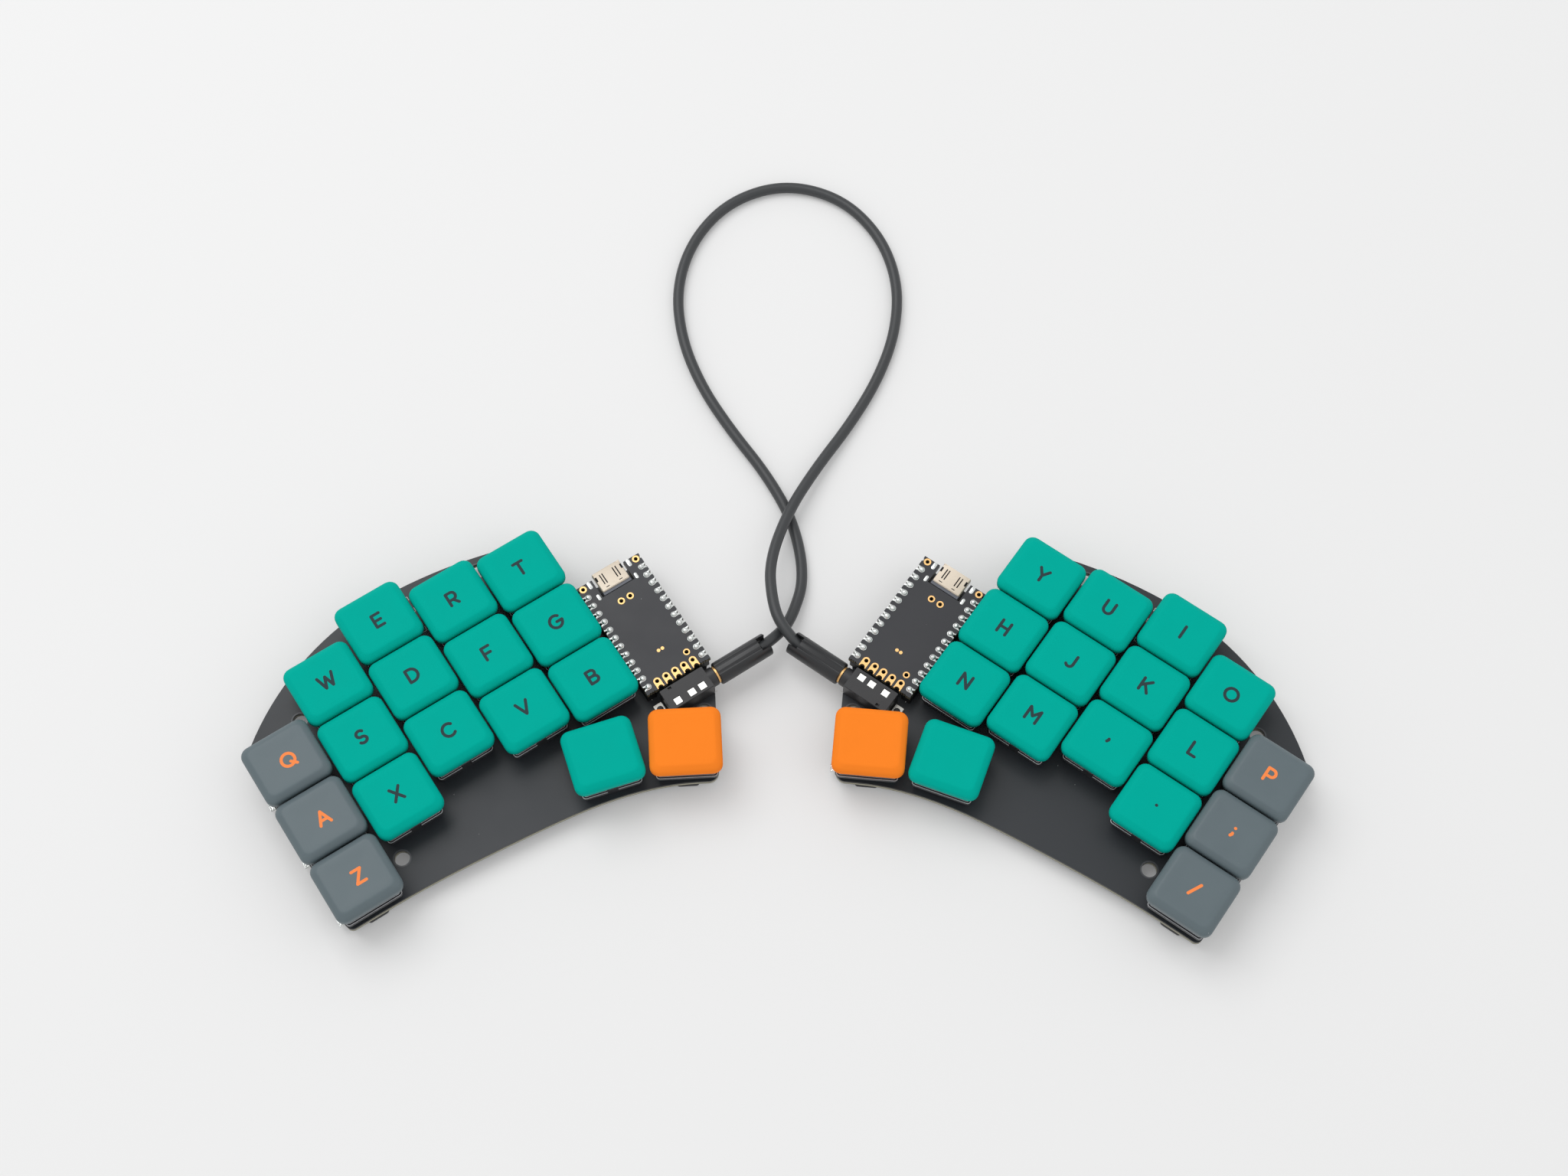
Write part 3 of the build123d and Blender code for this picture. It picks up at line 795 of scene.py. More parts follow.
class PatternTree:
    """A geometry node tree that sets copies of one part on points, with fixed random variation."""

    INPUTS: dict[str, str] = {
        "Geometry": "NodeSocketGeometry",
        "Part": "NodeSocketObject",
        "Finish": "NodeSocketMaterial",
        "Size Spread": "NodeSocketFloat",
        "Turn Spread": "NodeSocketFloat",
        "Seed": "NodeSocketInt",
    }
    _tree: bpy.types.NodeTree | None = None

    @classmethod
    def tree(cls) -> bpy.types.NodeTree:
        """Give the tree, built the first time.

        Returns:
            The node tree.
        """
        if cls._tree:
            return cls._tree
        tree = bpy.data.node_groups.new("pattern", "GeometryNodeTree")
        for label, kind in cls.INPUTS.items():
            tree.interface.new_socket(label, in_out="INPUT", socket_type=kind)
        tree.interface.new_socket("Geometry", in_out="OUTPUT", socket_type="NodeSocketGeometry")
        wiring = Wiring(tree)
        source = wiring.add("NodeGroupInput").outputs
        part = wiring.add("GeometryNodeObjectInfo", {"Object": source["Part"]})
        turn = wiring.add("GeometryNodeInputNamedAttribute", {"Name": "turn"}, data_type="FLOAT")
        wobble = cls._random(wiring, source, "Turn Spread", 0.0)
        angle = wiring.math("ADD", turn.outputs["Attribute"], wobble)
        spin = wiring.add("ShaderNodeCombineXYZ", {"Z": angle})
        inputs = {
            "Points": source["Geometry"],
            "Instance": part.outputs["Geometry"],
            "Rotation": spin.outputs[0],
            "Scale": cls._random(wiring, source, "Size Spread", 1.0),
        }
        copies = wiring.add("GeometryNodeInstanceOnPoints", inputs).outputs["Instances"]
        real = wiring.add("GeometryNodeRealizeInstances", {"Geometry": copies}).outputs["Geometry"]
        paint = wiring.add("GeometryNodeSetMaterial", {"Geometry": real, "Material": source["Finish"]})
        wiring.add("NodeGroupOutput", {"Geometry": paint.outputs["Geometry"]})
        cls._tree = tree
        return tree

    @staticmethod
    def _random(
        wiring: Wiring, source: bpy.types.NodeOutputs, spread: str, middle: float
    ) -> bpy.types.NodeSocket:
        """Add a random value from middle minus to middle plus a named spread.

        Args:
            wiring: the tree's wiring.
            source: the group's inputs, as sockets.
            spread: name of the input that holds the spread.
            middle: the middle value.

        Returns:
            The random value's socket.
        """
        inputs = {
            "Min": wiring.math("SUBTRACT", middle, source[spread]),
            "Max": wiring.math("ADD", middle, source[spread]),
            "Seed": source["Seed"],
        }
        return wiring.add("FunctionNodeRandomValue", inputs, data_type="FLOAT").outputs["Value"]

    @classmethod
    def lay(
        cls,
        part: bpy.types.Mesh,
        spots: list[Matrix],
        finish: Finish,
        size_spread: float = 0.0,
        turn_spread: float = 0.0,
        seed: int = 1,
    ) -> bpy.types.Mesh:
        """Set copies of a part on spots and give them as one plain mesh.

        Args:
            part: the part's mesh, in local millimetres.
            spots: matrices to the shared frame, turned about +Z only.
            finish: the finish that the tree sets.
            size_spread: random share of size.
            turn_spread: random turn in degrees.
            seed: seed of the random values.

        Returns:
            The plain mesh in the shared frame.
        """
        sample = in_scene("sample", part)
        part.transform(Matrix.Diagonal((MM, MM, MM, 1.0)))
        points = bpy.data.meshes.new("spots")
        points.from_pydata([spot.translation for spot in spots], [], [])
        turns = points.attributes.new("turn", "FLOAT", "POINT")
        for value, spot in zip(turns.data, spots):
            value.value = spot.to_euler().z
        holder = in_scene("holder", points)
        pattern = holder.modifiers.new("pattern", "NODES")
        pattern.node_group = cls.tree()
        values = {
            "Part": sample,
            "Finish": finish.material(),
            "Size Spread": size_spread,
            "Turn Spread": math.radians(turn_spread),
            "Seed": seed,
        }
        for item in cls.tree().interface.items_tree:
            if item.in_out == "INPUT" and item.name in values:
                pattern[item.identifier] = values[item.name]
        bpy.context.view_layer.update()
        mesh = bpy.data.meshes.new_from_object(holder.evaluated_get(bpy.context.evaluated_depsgraph_get()))
        holder.modifiers.remove(pattern)
        for extra in (sample, holder):
            bpy.data.objects.remove(extra)
        bpy.data.meshes.remove(points)
        return mesh


# Cable


@dataclass
class Cable:
    """The cable that joins the two halves, and its run over the desk."""

    length: float = 0.3248
    radius: float = 0.0014
    route: tuple[Spot, ...] = (
        (-0.00446, 0.02232, 0.0071),
        (0.0006, 0.0268, 0.0053),
        (0.0038, 0.0329, 0.0029),
        (0.0068, 0.0438, 0.0014),
        (0.0040, 0.0592, 0.0014),
        (-0.0030, 0.0726, 0.0014),
        (-0.0120, 0.0849, 0.0014),
        (-0.0199, 0.0978, 0.0014),
        (-0.0253, 0.1120, 0.0014),
        (-0.0269, 0.1273, 0.0014),
        (-0.0228, 0.1421, 0.0014),
        (-0.0131, 0.1541, 0.0014),
        (0.0015, 0.1595, 0.0014),
        (0.0166, 0.1553, 0.0014),
        (0.0270, 0.1439, 0.0014),
        (0.0318, 0.1293, 0.0014),
        (0.0309, 0.1140, 0.0014),
        (0.0259, 0.0996, 0.0014),
        (0.0184, 0.0864, 0.00145),
        (0.0100, 0.0739, 0.0027),
        (0.0027, 0.0608, 0.00445),
        (-0.0021, 0.0460, 0.0063),
        (-0.0014, 0.0348, 0.0080),
        (0.0009, 0.0276, 0.0084),
        (0.00559, 0.02268, 0.0071),
    )

    def build(self, plugs: list[bpy.types.Object]) -> None:
        """Lay the cable as one smooth curve from plug to plug.

        Args:
            plugs: the pieces at its ends; not used.
        """
        curve = bpy.data.curves.new("cable_jacket", "CURVE")
        curve.dimensions = "3D"
        curve.bevel_depth = self.radius
        curve.bevel_resolution = 6
        curve.resolution_u = 10
        curve.use_fill_caps = True
        spline = curve.splines.new("NURBS")
        spline.points.add(len(self.route) - 1)
        for point, place in zip(spline.points, self.route):
            point.co = (*place, 1.0)
        spline.order_u = 3
        spline.use_endpoint_u = True
        cable = in_scene("cable_jacket", curve)
        curve.materials.append(CABLE_JACKET.material())
        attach(cable, Anchor.BASE.value)
        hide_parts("cable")
        LOG.info("cable of %.1f mm", self.length / MM)


# Keys


@dataclass
class Keycap:
    """A low keycap with round corners, a bevelled shoulder and a shallow dish, on its stem."""

    length: float = 17.5
    width: float = 16.5
    corner: float = 2.4
    corner_loss: float = 0.45
    least_corner: float = 0.5
    rim: float = 7.25
    rim_bevel: Point = (0.08, 0.1)
    shoulder: float = 8.5
    slope: tuple[Point, ...] = (
        (0.0, 0.0), (0.05, 0.32), (0.2, 0.66), (0.45, 0.97),
        (0.9, 1.31), (1.3, 1.6), (1.5, 1.71), (1.7, 1.77),
    )
    top: float = 10.3
    wall: float = 1.1
    wall_taper: float = 0.5
    ceiling: float = 8.8
    dish: float = 0.14
    dish_shares: tuple[Point, ...] = ((2.0, 0.0), (3.0, 0.1), (4.2, 0.5), (6.0, 0.9), (7.6, 1.0))
    prong_spacing: float = 5.7
    prong: Point = (1.2, 3.0)
    prong_depth: float = 2.8
    prong_root: float = 0.1
    play: float = 0.05
    stem: Point = (9.4, 4.2)
    stem_corner: float = 0.3
    stem_foot: float = 3.7
    lip: float = 0.4
    lip_height: float = 0.6

    def outline(self, inset: float) -> list[Point]:
        """Give the cap's outline, brought in by an inset."""
        radius = max(self.least_corner, self.corner - self.corner_loss * inset)
        return rounded_rectangle(self.length - 2 * inset, self.width - 2 * inset, radius)

    def cap_shape(self) -> Shape:
        """Build the cap about its own centre, in millimetres above the board.

        Returns:
            The cap with its two prongs.
        """
        shape = Shape(sharp=60.0)
        profile = [(self.wall + self.wall_taper, self.ceiling), (self.wall, self.rim)]
        profile += [(self.rim_bevel[0], self.rim), (0.0, self.rim + self.rim_bevel[1])]
        profile += [(inset, self.shoulder + rise) for inset, rise in self.slope]
        profile += [(inset, self.top - share * self.dish) for inset, share in self.dish_shares]
        shape.stack([(self.outline(inset), height) for inset, height in profile])
        for side in (-1, 1):
            centre = (side * self.prong_spacing / 2, 0.0)
            shape.block(centre, self.prong, self.ceiling - self.prong_depth, self.ceiling + self.prong_root)
        return shape

    def stem_shape(self) -> Shape:
        """Build the stem about its own centre: a lip at its foot and slots for the cap's prongs.

        Returns:
            The stem.
        """
        shape = Shape()
        lip_top = self.stem_foot + self.lip_height
        slot_floor = self.ceiling - self.prong_depth - self.play
        lip = (self.stem[0] + 2 * self.lip, self.stem[1] + 2 * self.lip)
        slot = rounded_rectangle(self.prong[0] + 2 * self.play, self.prong[1] + 2 * self.play, self.play, 1)
        slots = [moved(slot, side * self.prong_spacing / 2, 0.0) for side in (-1, 1)]
        outline = rounded_rectangle(*self.stem, self.stem_corner)
        shape.prism(rounded_rectangle(*lip, self.stem_corner), self.stem_foot, lip_top)
        shape.prism(outline, lip_top, slot_floor)
        shape.plate(outline, slots, slot_floor, self.ceiling)
        return shape


def arc(x: float, y: float, across: float, up: float, start: float, end: float) -> list[Point]:
    """Give points about 20 degrees apart along an ellipse's arc about (x, y)."""
    return sweep((x, y), across, up, start, end, max(3, round(abs(end - start) / 20.0)))


class Legend:
    """The printed characters of the keys, drawn as round-ended strokes in units of their height."""

    HEIGHT: float = 3.3
    STROKE: float = 0.37
    INK: float = 0.03
    STEP: float = 0.0005
    NUDGE: dict[str, Point] = {"q": (0.6, -0.4), "a": (0.6, -0.4), "z": (0.7, -0.4)}
    STROKES: dict[str, list[list[Point]]] = {
        "q": [arc(0.5, 0.5, 0.5, 0.5, 0, 360), [(0.62, 0.3), (0.98, -0.04)]],
        "w": [[(0, 1), (0.3, 0), (0.58, 0.86), (0.86, 0), (1.16, 1)]],
        "e": [[(0.62, 1), (0, 1), (0, 0), (0.62, 0)], [(0, 0.5), (0.54, 0.5)]],
        "r": [
            [(0, 0), (0, 1), (0.36, 1), *arc(0.38, 0.7, 0.28, 0.3, 90, -90), (0, 0.4)],
            [(0.34, 0.4), (0.64, 0)],
        ],
        "t": [[(0, 1), (0.74, 1)], [(0.37, 1), (0.37, 0)]],
        "a": [[(0, 0), (0.42, 1), (0.84, 0)], [(0.14, 0.32), (0.7, 0.32)]],
        "s": [[*arc(0.32, 0.74, 0.29, 0.26, 35, 270), *arc(0.32, 0.25, 0.31, 0.25, 80, -145)]],
        "d": [[(0, 0), (0, 1), (0.3, 1), *arc(0.3, 0.5, 0.48, 0.5, 90, -90), (0, 0)]],
        "f": [[(0.6, 1), (0, 1), (0, 0)], [(0, 0.48), (0.52, 0.48)]],
        "g": [[*arc(0.5, 0.5, 0.48, 0.5, 48, 350), (0.98, 0.47), (0.56, 0.47)]],
        "z": [[(0, 1), (0.68, 1), (0, 0), (0.7, 0)]],
        "x": [[(0, 1), (0.74, 0)], [(0.74, 1), (0, 0)]],
        "c": [arc(0.5, 0.5, 0.48, 0.5, 45, 315)],
        "v": [[(0, 1), (0.43, 0), (0.86, 1)]],
        "b": [
            [(0, 0), (0, 1), (0.36, 1), *arc(0.36, 0.76, 0.26, 0.24, 90, -90), (0, 0.52)],
            [(0.36, 0.52), *arc(0.38, 0.26, 0.3, 0.26, 90, -90), (0, 0)],
        ],
        "y": [[(0, 1), (0.39, 0.46), (0.78, 1)], [(0.39, 0.46), (0.39, 0)]],
        "h": [[(0, 0), (0, 1)], [(0.7, 0), (0.7, 1)], [(0, 0.5), (0.7, 0.5)]],
        "n": [[(0, 0), (0, 1), (0.72, 0), (0.72, 1)]],
        "u": [[(0, 1), (0, 0.36), *arc(0.35, 0.35, 0.35, 0.35, 180, 360), (0.7, 1)]],
        "j": [[(0.52, 1), (0.52, 0.3), *arc(0.24, 0.28, 0.28, 0.28, 0, -145)]],
        "m": [[(0, 0), (0, 1), (0.44, 0.4), (0.88, 1), (0.88, 0)]],
        "i": [[(0, 0), (0, 1)]],
        "k": [[(0, 0), (0, 1)], [(0.66, 1), (0.02, 0.38)], [(0.24, 0.6), (0.68, 0)]],
        "o": [arc(0.5, 0.5, 0.5, 0.5, 0, 360)],
        "l": [[(0, 1), (0, 0), (0.56, 0)]],
        "p": [[(0, 0), (0, 1), (0.36, 1), *arc(0.38, 0.7, 0.28, 0.3, 90, -90), (0, 0.4)]],
        "comma": [[(0.1, 0.08), (0.11, 0.0), (0.03, -0.14)]],
        "period": [[(0.0, 0.0), (0.01, 0.0)]],
        "semicolon": [[(0.1, 0.5), (0.11, 0.5)], [(0.1, 0.08), (0.11, 0.0), (0.03, -0.14)]],
        "slash": [[(0, 0), (0.5, 1)]],
    }

    @classmethod
    def mesh(cls, name: str, place: Matrix, surface: float) -> bpy.types.Mesh | None:
        """Print one key's character from short round-ended bars, each a hair higher than the last.

        Args:
            name: the key's name.
            place: the key's matrix.
            surface: height of the cap's surface above the board.

        Returns:
            The mesh, or None for a thumb key, which is blank.
        """
        strokes = cls.STROKES.get(name)
        if not strokes:
            return None
        points = [point for stroke in strokes for point in stroke]
        middle_x = (min(x for x, _ in points) + max(x for x, _ in points)) / 2
        middle_y = (min(y for _, y in points) + max(y for _, y in points)) / 2
        shape = Shape(merge=1e-7)
        high = surface + cls.INK
        nudge = Vector(cls.NUDGE.get(name, (0.0, 0.0)))
        for stroke in strokes:
            placed = [Vector((x - middle_x, y - middle_y)) * cls.HEIGHT + nudge for x, y in stroke]
            for start, end in zip(placed, placed[1:]):
                shape.prism(cls.bar(start, end), surface - cls.INK, high)
                high += cls.STEP
        return shape.to_mesh("legend", place)

    @classmethod
    def bar(cls, start: Vector, end: Vector) -> list[Point]:
        """Give the outline of one straight bar with two round ends.

        Args:
            start: the middle of its first round end.
            end: the middle of its last round end.

        Returns:
            The outline, counter-clockwise.
        """
        heading = math.degrees(math.atan2(end.y - start.y, end.x - start.x))
        outline = []
        for centre, turn in ((end, heading - 90.0), (start, heading + 90.0)):
            outline += sweep(tuple(centre), cls.STROKE, cls.STROKE, turn, turn + 180.0, 8)
        return outline


class Keys:
    """Every key of the keyboard: cap, stem and printed legend on the key's own sliding body."""

    def __init__(self) -> None:
        """Build the master meshes once."""
        self.shape = Keycap()
        self.cap = self.shape.cap_shape().to_mesh("cap", IDENTITY)
        self.stem = self.shape.stem_shape().to_mesh("stem", IDENTITY)

    def finish_of(self, name: str, half: Half) -> tuple[Finish, Finish]:
        """Choose a key's colours.

        Args:
            name: the key's name.
            half: the half it is on.

        Returns:
            The cap's finish and the legend's.
        """
        if name.endswith("inner_thumb"):
            return CAP_ORANGE, LEGEND_DARK
        if name in [row[0] for row in half.rows]:
            return CAP_GRAY, LEGEND_ORANGE
        return CAP_TEAL, LEGEND_DARK

    def build(self, half: Half) -> None:
        """Set the keys of one half.

        Args:
            half: the half that gets its keys.
        """
        for name, (x, y, turn, _) in LAYOUT.keys(half).items():
            body = f"key_{name}_body"
            place = half.spot(x, y, turn)
            finish, ink = self.finish_of(name, half)
            masters = (("cap", self.cap, finish, (f"key_{name}",)), ("stem", self.stem, STEM_PLASTIC, ()))
            for kind, master, paint, nodes in masters:
                mesh = master.copy()
                mesh.transform(place)
                Piece.add(f"{kind}_{name}", mesh, paint, nodes, body)
            legend = Legend.mesh(name, place, self.shape.top - self.shape.dish)
            if legend:
                Piece.add(f"legend_{name}", legend, ink, body=body)


# Switches


@dataclass
class Switches:
    """The fixed housings of the low-profile switches, and the sockets under the board."""

    body: float = 13.8
    body_corner: float = 0.5
    flange: float = 15.0
    flange_corner: float = 0.9
    flange_low: float = 2.2
    flange_high: float = 3.0
    flange_bevel: float = 0.12
    corner_steps: int = 4
    notch: Point = (2.7, 0.6)
    notch_share: float = 0.4
    well: Point = (10.6, 5.4)
    well_corner: float = 0.3
    well_floor: float = 0.4
    # Insets, widths and heights of the painted highlight lines round each flange.
    highlight_lines: tuple[tuple[float, float, float], ...] = ((0.05, 0.15, 0.05), (0.55, 0.1, 0.03))
    highlight_corner_loss: float = 0.6
    highlight_root: float = 0.02
    cover: float = 13.6
    cover_high: float = 5.0
    cover_taper: Point = (0.7, 0.5)
    cover_wall: float = 0.6
    window: Point = (9.8, 4.6)
    post: float = 1.7
    post_length: float = 2.65
    post_taper: Point = (0.25, 0.3)
    post_root: float = 0.1
    post_steps: int = 20
    side_post: float = 0.95
    side_post_offset: float = 5.5
    lobe: Point = (5.6, 3.2)
    lobe_corner: float = 0.8
    lobe_bevel: float = 0.15
    lobes: tuple[Point, ...] = ((0.0, 5.9), (5.0, 3.8))
    socket_height: float = 1.85
    tab: tuple[float, float, float] = (1.3, 1.9, 0.9)
    tab_offset: float = 0.55
    tab_bevel: float = 0.08
    mouth: float = 1.25
    throat: float = 0.85
    mouth_steps: int = 24
    grip_profile: tuple[tuple[bool, float], ...] = (
        (False, 0.05), (True, -0.02), (True, 0.1), (False, 0.6), (False, 0.05),
    )

    def notched(self, size: Point, radius: float, depth: float) -> list[Point]:
        """Give a rounded rectangle with a notch in its -Y side.

        Args:
            size: its length and width.
            radius: corner radius.
            depth: the notch's depth, which may be nothing.

        Returns:
            The outline, with the notch's four points after its third corner.
        """
        outline = rounded_rectangle(*size, radius, self.corner_steps)
        half = min(self.notch[0], size[0] * self.notch_share) / 2
        inner = half if depth else half / 3
        low = -size[1] / 2
        first = 3 * (self.corner_steps + 1)
        notch = [(-half, low), (-inner, low + depth), (inner, low + depth), (half, low)]
        return [*outline[:first], *notch, *outline[first:]]

    def base_shape(self) -> Shape:
        """Build one lower housing: body, notched flange, stem well and locating posts.

        Returns:
            The housing, with the pins' side at +Y.
        """
        shape = Shape()
        bevel = self.flange_bevel
        narrow = self.flange - 2 * bevel
        well = self.notched(self.well, self.well_corner, 0.0)
        body = self.notched((self.body, self.body), self.body_corner, 0.0)
        flange = self.notched((self.flange, self.flange), self.flange_corner, self.notch[1])
        inner = self.notched((narrow, narrow), self.flange_corner - 0.1, self.notch[1])
        outlines = [(well, self.well_floor), (well, self.flange_high), (inner, self.flange_high)]
        outlines += [(flange, self.flange_high - bevel), (flange, self.flange_low)]
        shape.stack([*outlines, (body, self.flange_low), (body, 0.0)])
        inset, rise = self.post_taper
        sides = [(side * self.side_post_offset, self.side_post) for side in (-1, 1)]
        for x, radius in [(0.0, self.post), *sides]:
            outline = circle(radius, (x, 0.0), self.post_steps)
            tip = (shrunk(outline, inset), -self.post_length)
            shape.stack([tip, (outline, rise - self.post_length), (outline, self.post_root)])
        return shape

    def painted_highlight_shape(self) -> Shape:
        """Build the painted highlight round one flange's edge, open at the notch, with a fainter inner line
        of painted highlight.

        Returns:
            The two lines.
        """
        shape = Shape()
        first = 3 * (self.corner_steps + 1)
        for inset, width, high in self.highlight_lines:
            lines = []
            for reach in (inset, inset + width):
                size = self.flange - 2 * reach
                radius = self.flange_corner - self.highlight_corner_loss * reach
                outline = self.notched((size, size), radius, self.notch[1])
                lines.append([*outline[first + 3 :], *outline[: first + 1]])
            band = [*lines[0], *reversed(lines[1])]
            shape.plate(band, [], self.flange_high - self.highlight_root, self.flange_high + high)
        return shape

    def cover_shape(self) -> Shape:
        """Build one upper housing with the window that the stem moves through.

        Returns:
            The upper housing.
        """
        shape = Shape()
        inset, drop = self.cover_taper
        ceiling = self.cover_high - self.cover_wall
        well = rounded_rectangle(*self.well, self.well_corner, self.corner_steps)
        window = rounded_rectangle(*self.window, self.well_corner, self.corner_steps)
        low = rounded_rectangle(self.cover, self.cover, self.body_corner, self.corner_steps)
        high = rounded_rectangle(self.cover - inset, self.cover - inset, self.body_corner, self.corner_steps)
        outlines = [(well, self.flange_high), (low, self.flange_high), (low, self.cover_high - drop)]
        outlines += [(high, self.cover_high), (window, self.cover_high), (window, ceiling), (well, ceiling)]
        shape.stack([*outlines, outlines[0]], closed=False)
        return shape

    def socket_shape(self) -> Shape:
        """Build one plug-in socket: two joined lobes; the round mouth under each pin comes with the socket's
        metal.

        Returns:
            The two lobes.
        """
        shape = Shape()
        low = -BOARD_THICKNESS - self.socket_height
        for spot in self.lobes:
            outline = moved(rounded_rectangle(*self.lobe, self.lobe_corner, 5), *spot)
            tip = (shrunk(outline, self.lobe_bevel), low)
            shape.stack([tip, (outline, low + self.lobe_bevel), (outline, -BOARD_THICKNESS)])
        return shape

    def socket_metal(self) -> Shape:
        """Build one socket's metal: an end tab beside each lobe and the mouth that grips the pin.

        Returns:
            The tabs and the mouths.
        """
        shape = Shape()
        length, width, height = self.tab
        low = -BOARD_THICKNESS - self.socket_height
        for side, (x, y) in zip((-1, 1), self.lobes):
            centre = (x + side * (self.lobe[0] / 2 + self.tab_offset), y)
            shape.block(centre, (length, width), -BOARD_THICKNESS - height, -BOARD_THICKNESS, self.tab_bevel)
            rings = []
            for wide, rise in self.grip_profile:
                radius = self.mouth if wide else self.throat
                rings.append((circle(radius, (x, y), self.mouth_steps), low + rise))
            shape.stack(rings, closed=False)
        return shape

    def build(self, half: Half) -> None:
        """Set the housings and sockets of one half.

        Args:
            half: the half that gets them.
        """
        parts = (
            ("switch_bases", self.base_shape(), BASE_PLASTIC, (f"{half.name}_switch_bases",)),
            ("switch_covers", self.cover_shape(), COVER_PLASTIC, (f"{half.name}_switch_covers",)),
            # Painted highlight lines along the flanges' edges.
            ("switch_rims", self.painted_highlight_shape(), FLANGE_HIGHLIGHT_PAINT, ()),
            ("socket_shells", self.socket_shape(), SOCKET_PLASTIC, (f"{half.name}_sockets",)),
            ("socket_tabs", self.socket_metal(), SOLDER, ()),
        )
        for seed, (name, shape, finish, nodes) in enumerate(parts):
            part = shape.to_mesh(name, IDENTITY)
            mesh = PatternTree.lay(part, LAYOUT.switch_spots(half), finish, seed=seed)
            Piece.add(f"{half.name}_{name}", mesh, finish, nodes)


# Main board


@dataclass
class MainBoard:
    """The main board's mask, print and hole rings, and the rubber feet under it."""

    line: float = 0.16
    ink: float = 0.02
    mark: float = 1.1
    marks: tuple[tuple[float, float, int, int], ...] = (
        (9.8, 6.0, -1, -1), (9.8, 1.5, -1, 1), (9.6, -4.5, -1, 1),
    )
    jack_line: tuple[float, float, float] = (53.0, 61.0, -57.25)
    reset_mark: float = 1.0
    reset_mark_spots: tuple[Point, Point] = ((45.9, -49.6), (46.4, -50.1))
    hole_spots: tuple[Point, ...] = ((-28.1, -8.3), (-24.5, -52.05), (28.0, 2.4), (55.5, -60.0))
    hole_radius: float = 1.85
    ring_gap: float = 0.02
    ring_width: float = 0.35
    ring_root: float = 0.01
    foot_radius: float = 3.25
    foot_height: float = 3.0
    foot_turn_spread: float = 40.0
    foot_profile: tuple[Point, ...] = ((0.9, 0.0), (0.35, 0.12), (0.0, 0.6))
    foot_spots: tuple[Point, ...] = (
        (-35.0, -11.0), (38.5, -1.6), (54.0, -53.4), (-36.2, -47.8), (2.0, -57.6),
    )

    def print_shape(self) -> Shape:
        """Print the small corner marks and the line beside the jack.

        Returns:
            The lines of ink.
        """
        shape = Shape()
        size = self.mark
        start, end, y = self.jack_line
        flat_mark, upright_mark = self.reset_mark_spots
        lines = []
        for spot_x, spot_y, along, across in self.marks:
            lines.append(((spot_x + along * size / 2, spot_y), (size, self.line)))
            lines.append(((spot_x, spot_y + across * size / 2), (self.line, size)))
        lines.append((((start + end) / 2, y), (end - start, self.line)))
        lines.append((upright_mark, (self.line, self.reset_mark)))
        lines.append((flat_mark, (self.reset_mark, self.line)))
        for centre, extent in lines:
            shape.block(centre, extent, 0.0, self.ink)
        return shape

    def ring_shape(self) -> Shape:
        """Make the thin bare ring round each mounting hole.

        Returns:
            The rings.
        """
        shape = Shape()
        for spot in self.hole_spots:
            outer = circle(self.hole_radius + self.ring_width, spot)
            inner = circle(self.hole_radius + self.ring_gap, spot)
            shape.washer(outer, inner, -self.ring_root, self.ink)
        return shape

    def foot_shape(self) -> Shape:
        """Build one rubber foot.

        Returns:
            The foot about its own centre.
        """
        shape = Shape()
        low = -BOARD_THICKNESS - self.foot_height
        rings = [(circle(self.foot_radius - inset), low + rise) for inset, rise in self.foot_profile]
        shape.stack([*rings, (circle(self.foot_radius), -BOARD_THICKNESS)])
        return shape

    def build(self, frame: dict, half: Half) -> None:
        """Dress one half's board.

        Args:
            frame: the loaded solid model.
            half: the half whose board is dressed.
        """
        Piece.refinish(frame, f"{half.name}_main_board", MASK)
        parts = (
            ("board_print", self.print_shape(), SILK, ()),
            ("hole_rings", self.ring_shape(), HOLE_RING, ()),
        )
        Piece.fix(half, half.mirrored(), parts)

    def build_feet(self, halves: list[Half]) -> None:
        """Set the feet under both boards as one piece.

        Args:
            halves: the halves that get feet.
        """
        spots = [half.spot(x, y) for half in halves for x, y in self.foot_spots]
        foot = self.foot_shape().to_mesh("foot", IDENTITY)
        mesh = PatternTree.lay(foot, spots, FOOT_RUBBER, turn_spread=self.foot_turn_spread, seed=5)
        Piece.add("board_feet", mesh, FOOT_RUBBER, ("rubber_feet",))


# Controller


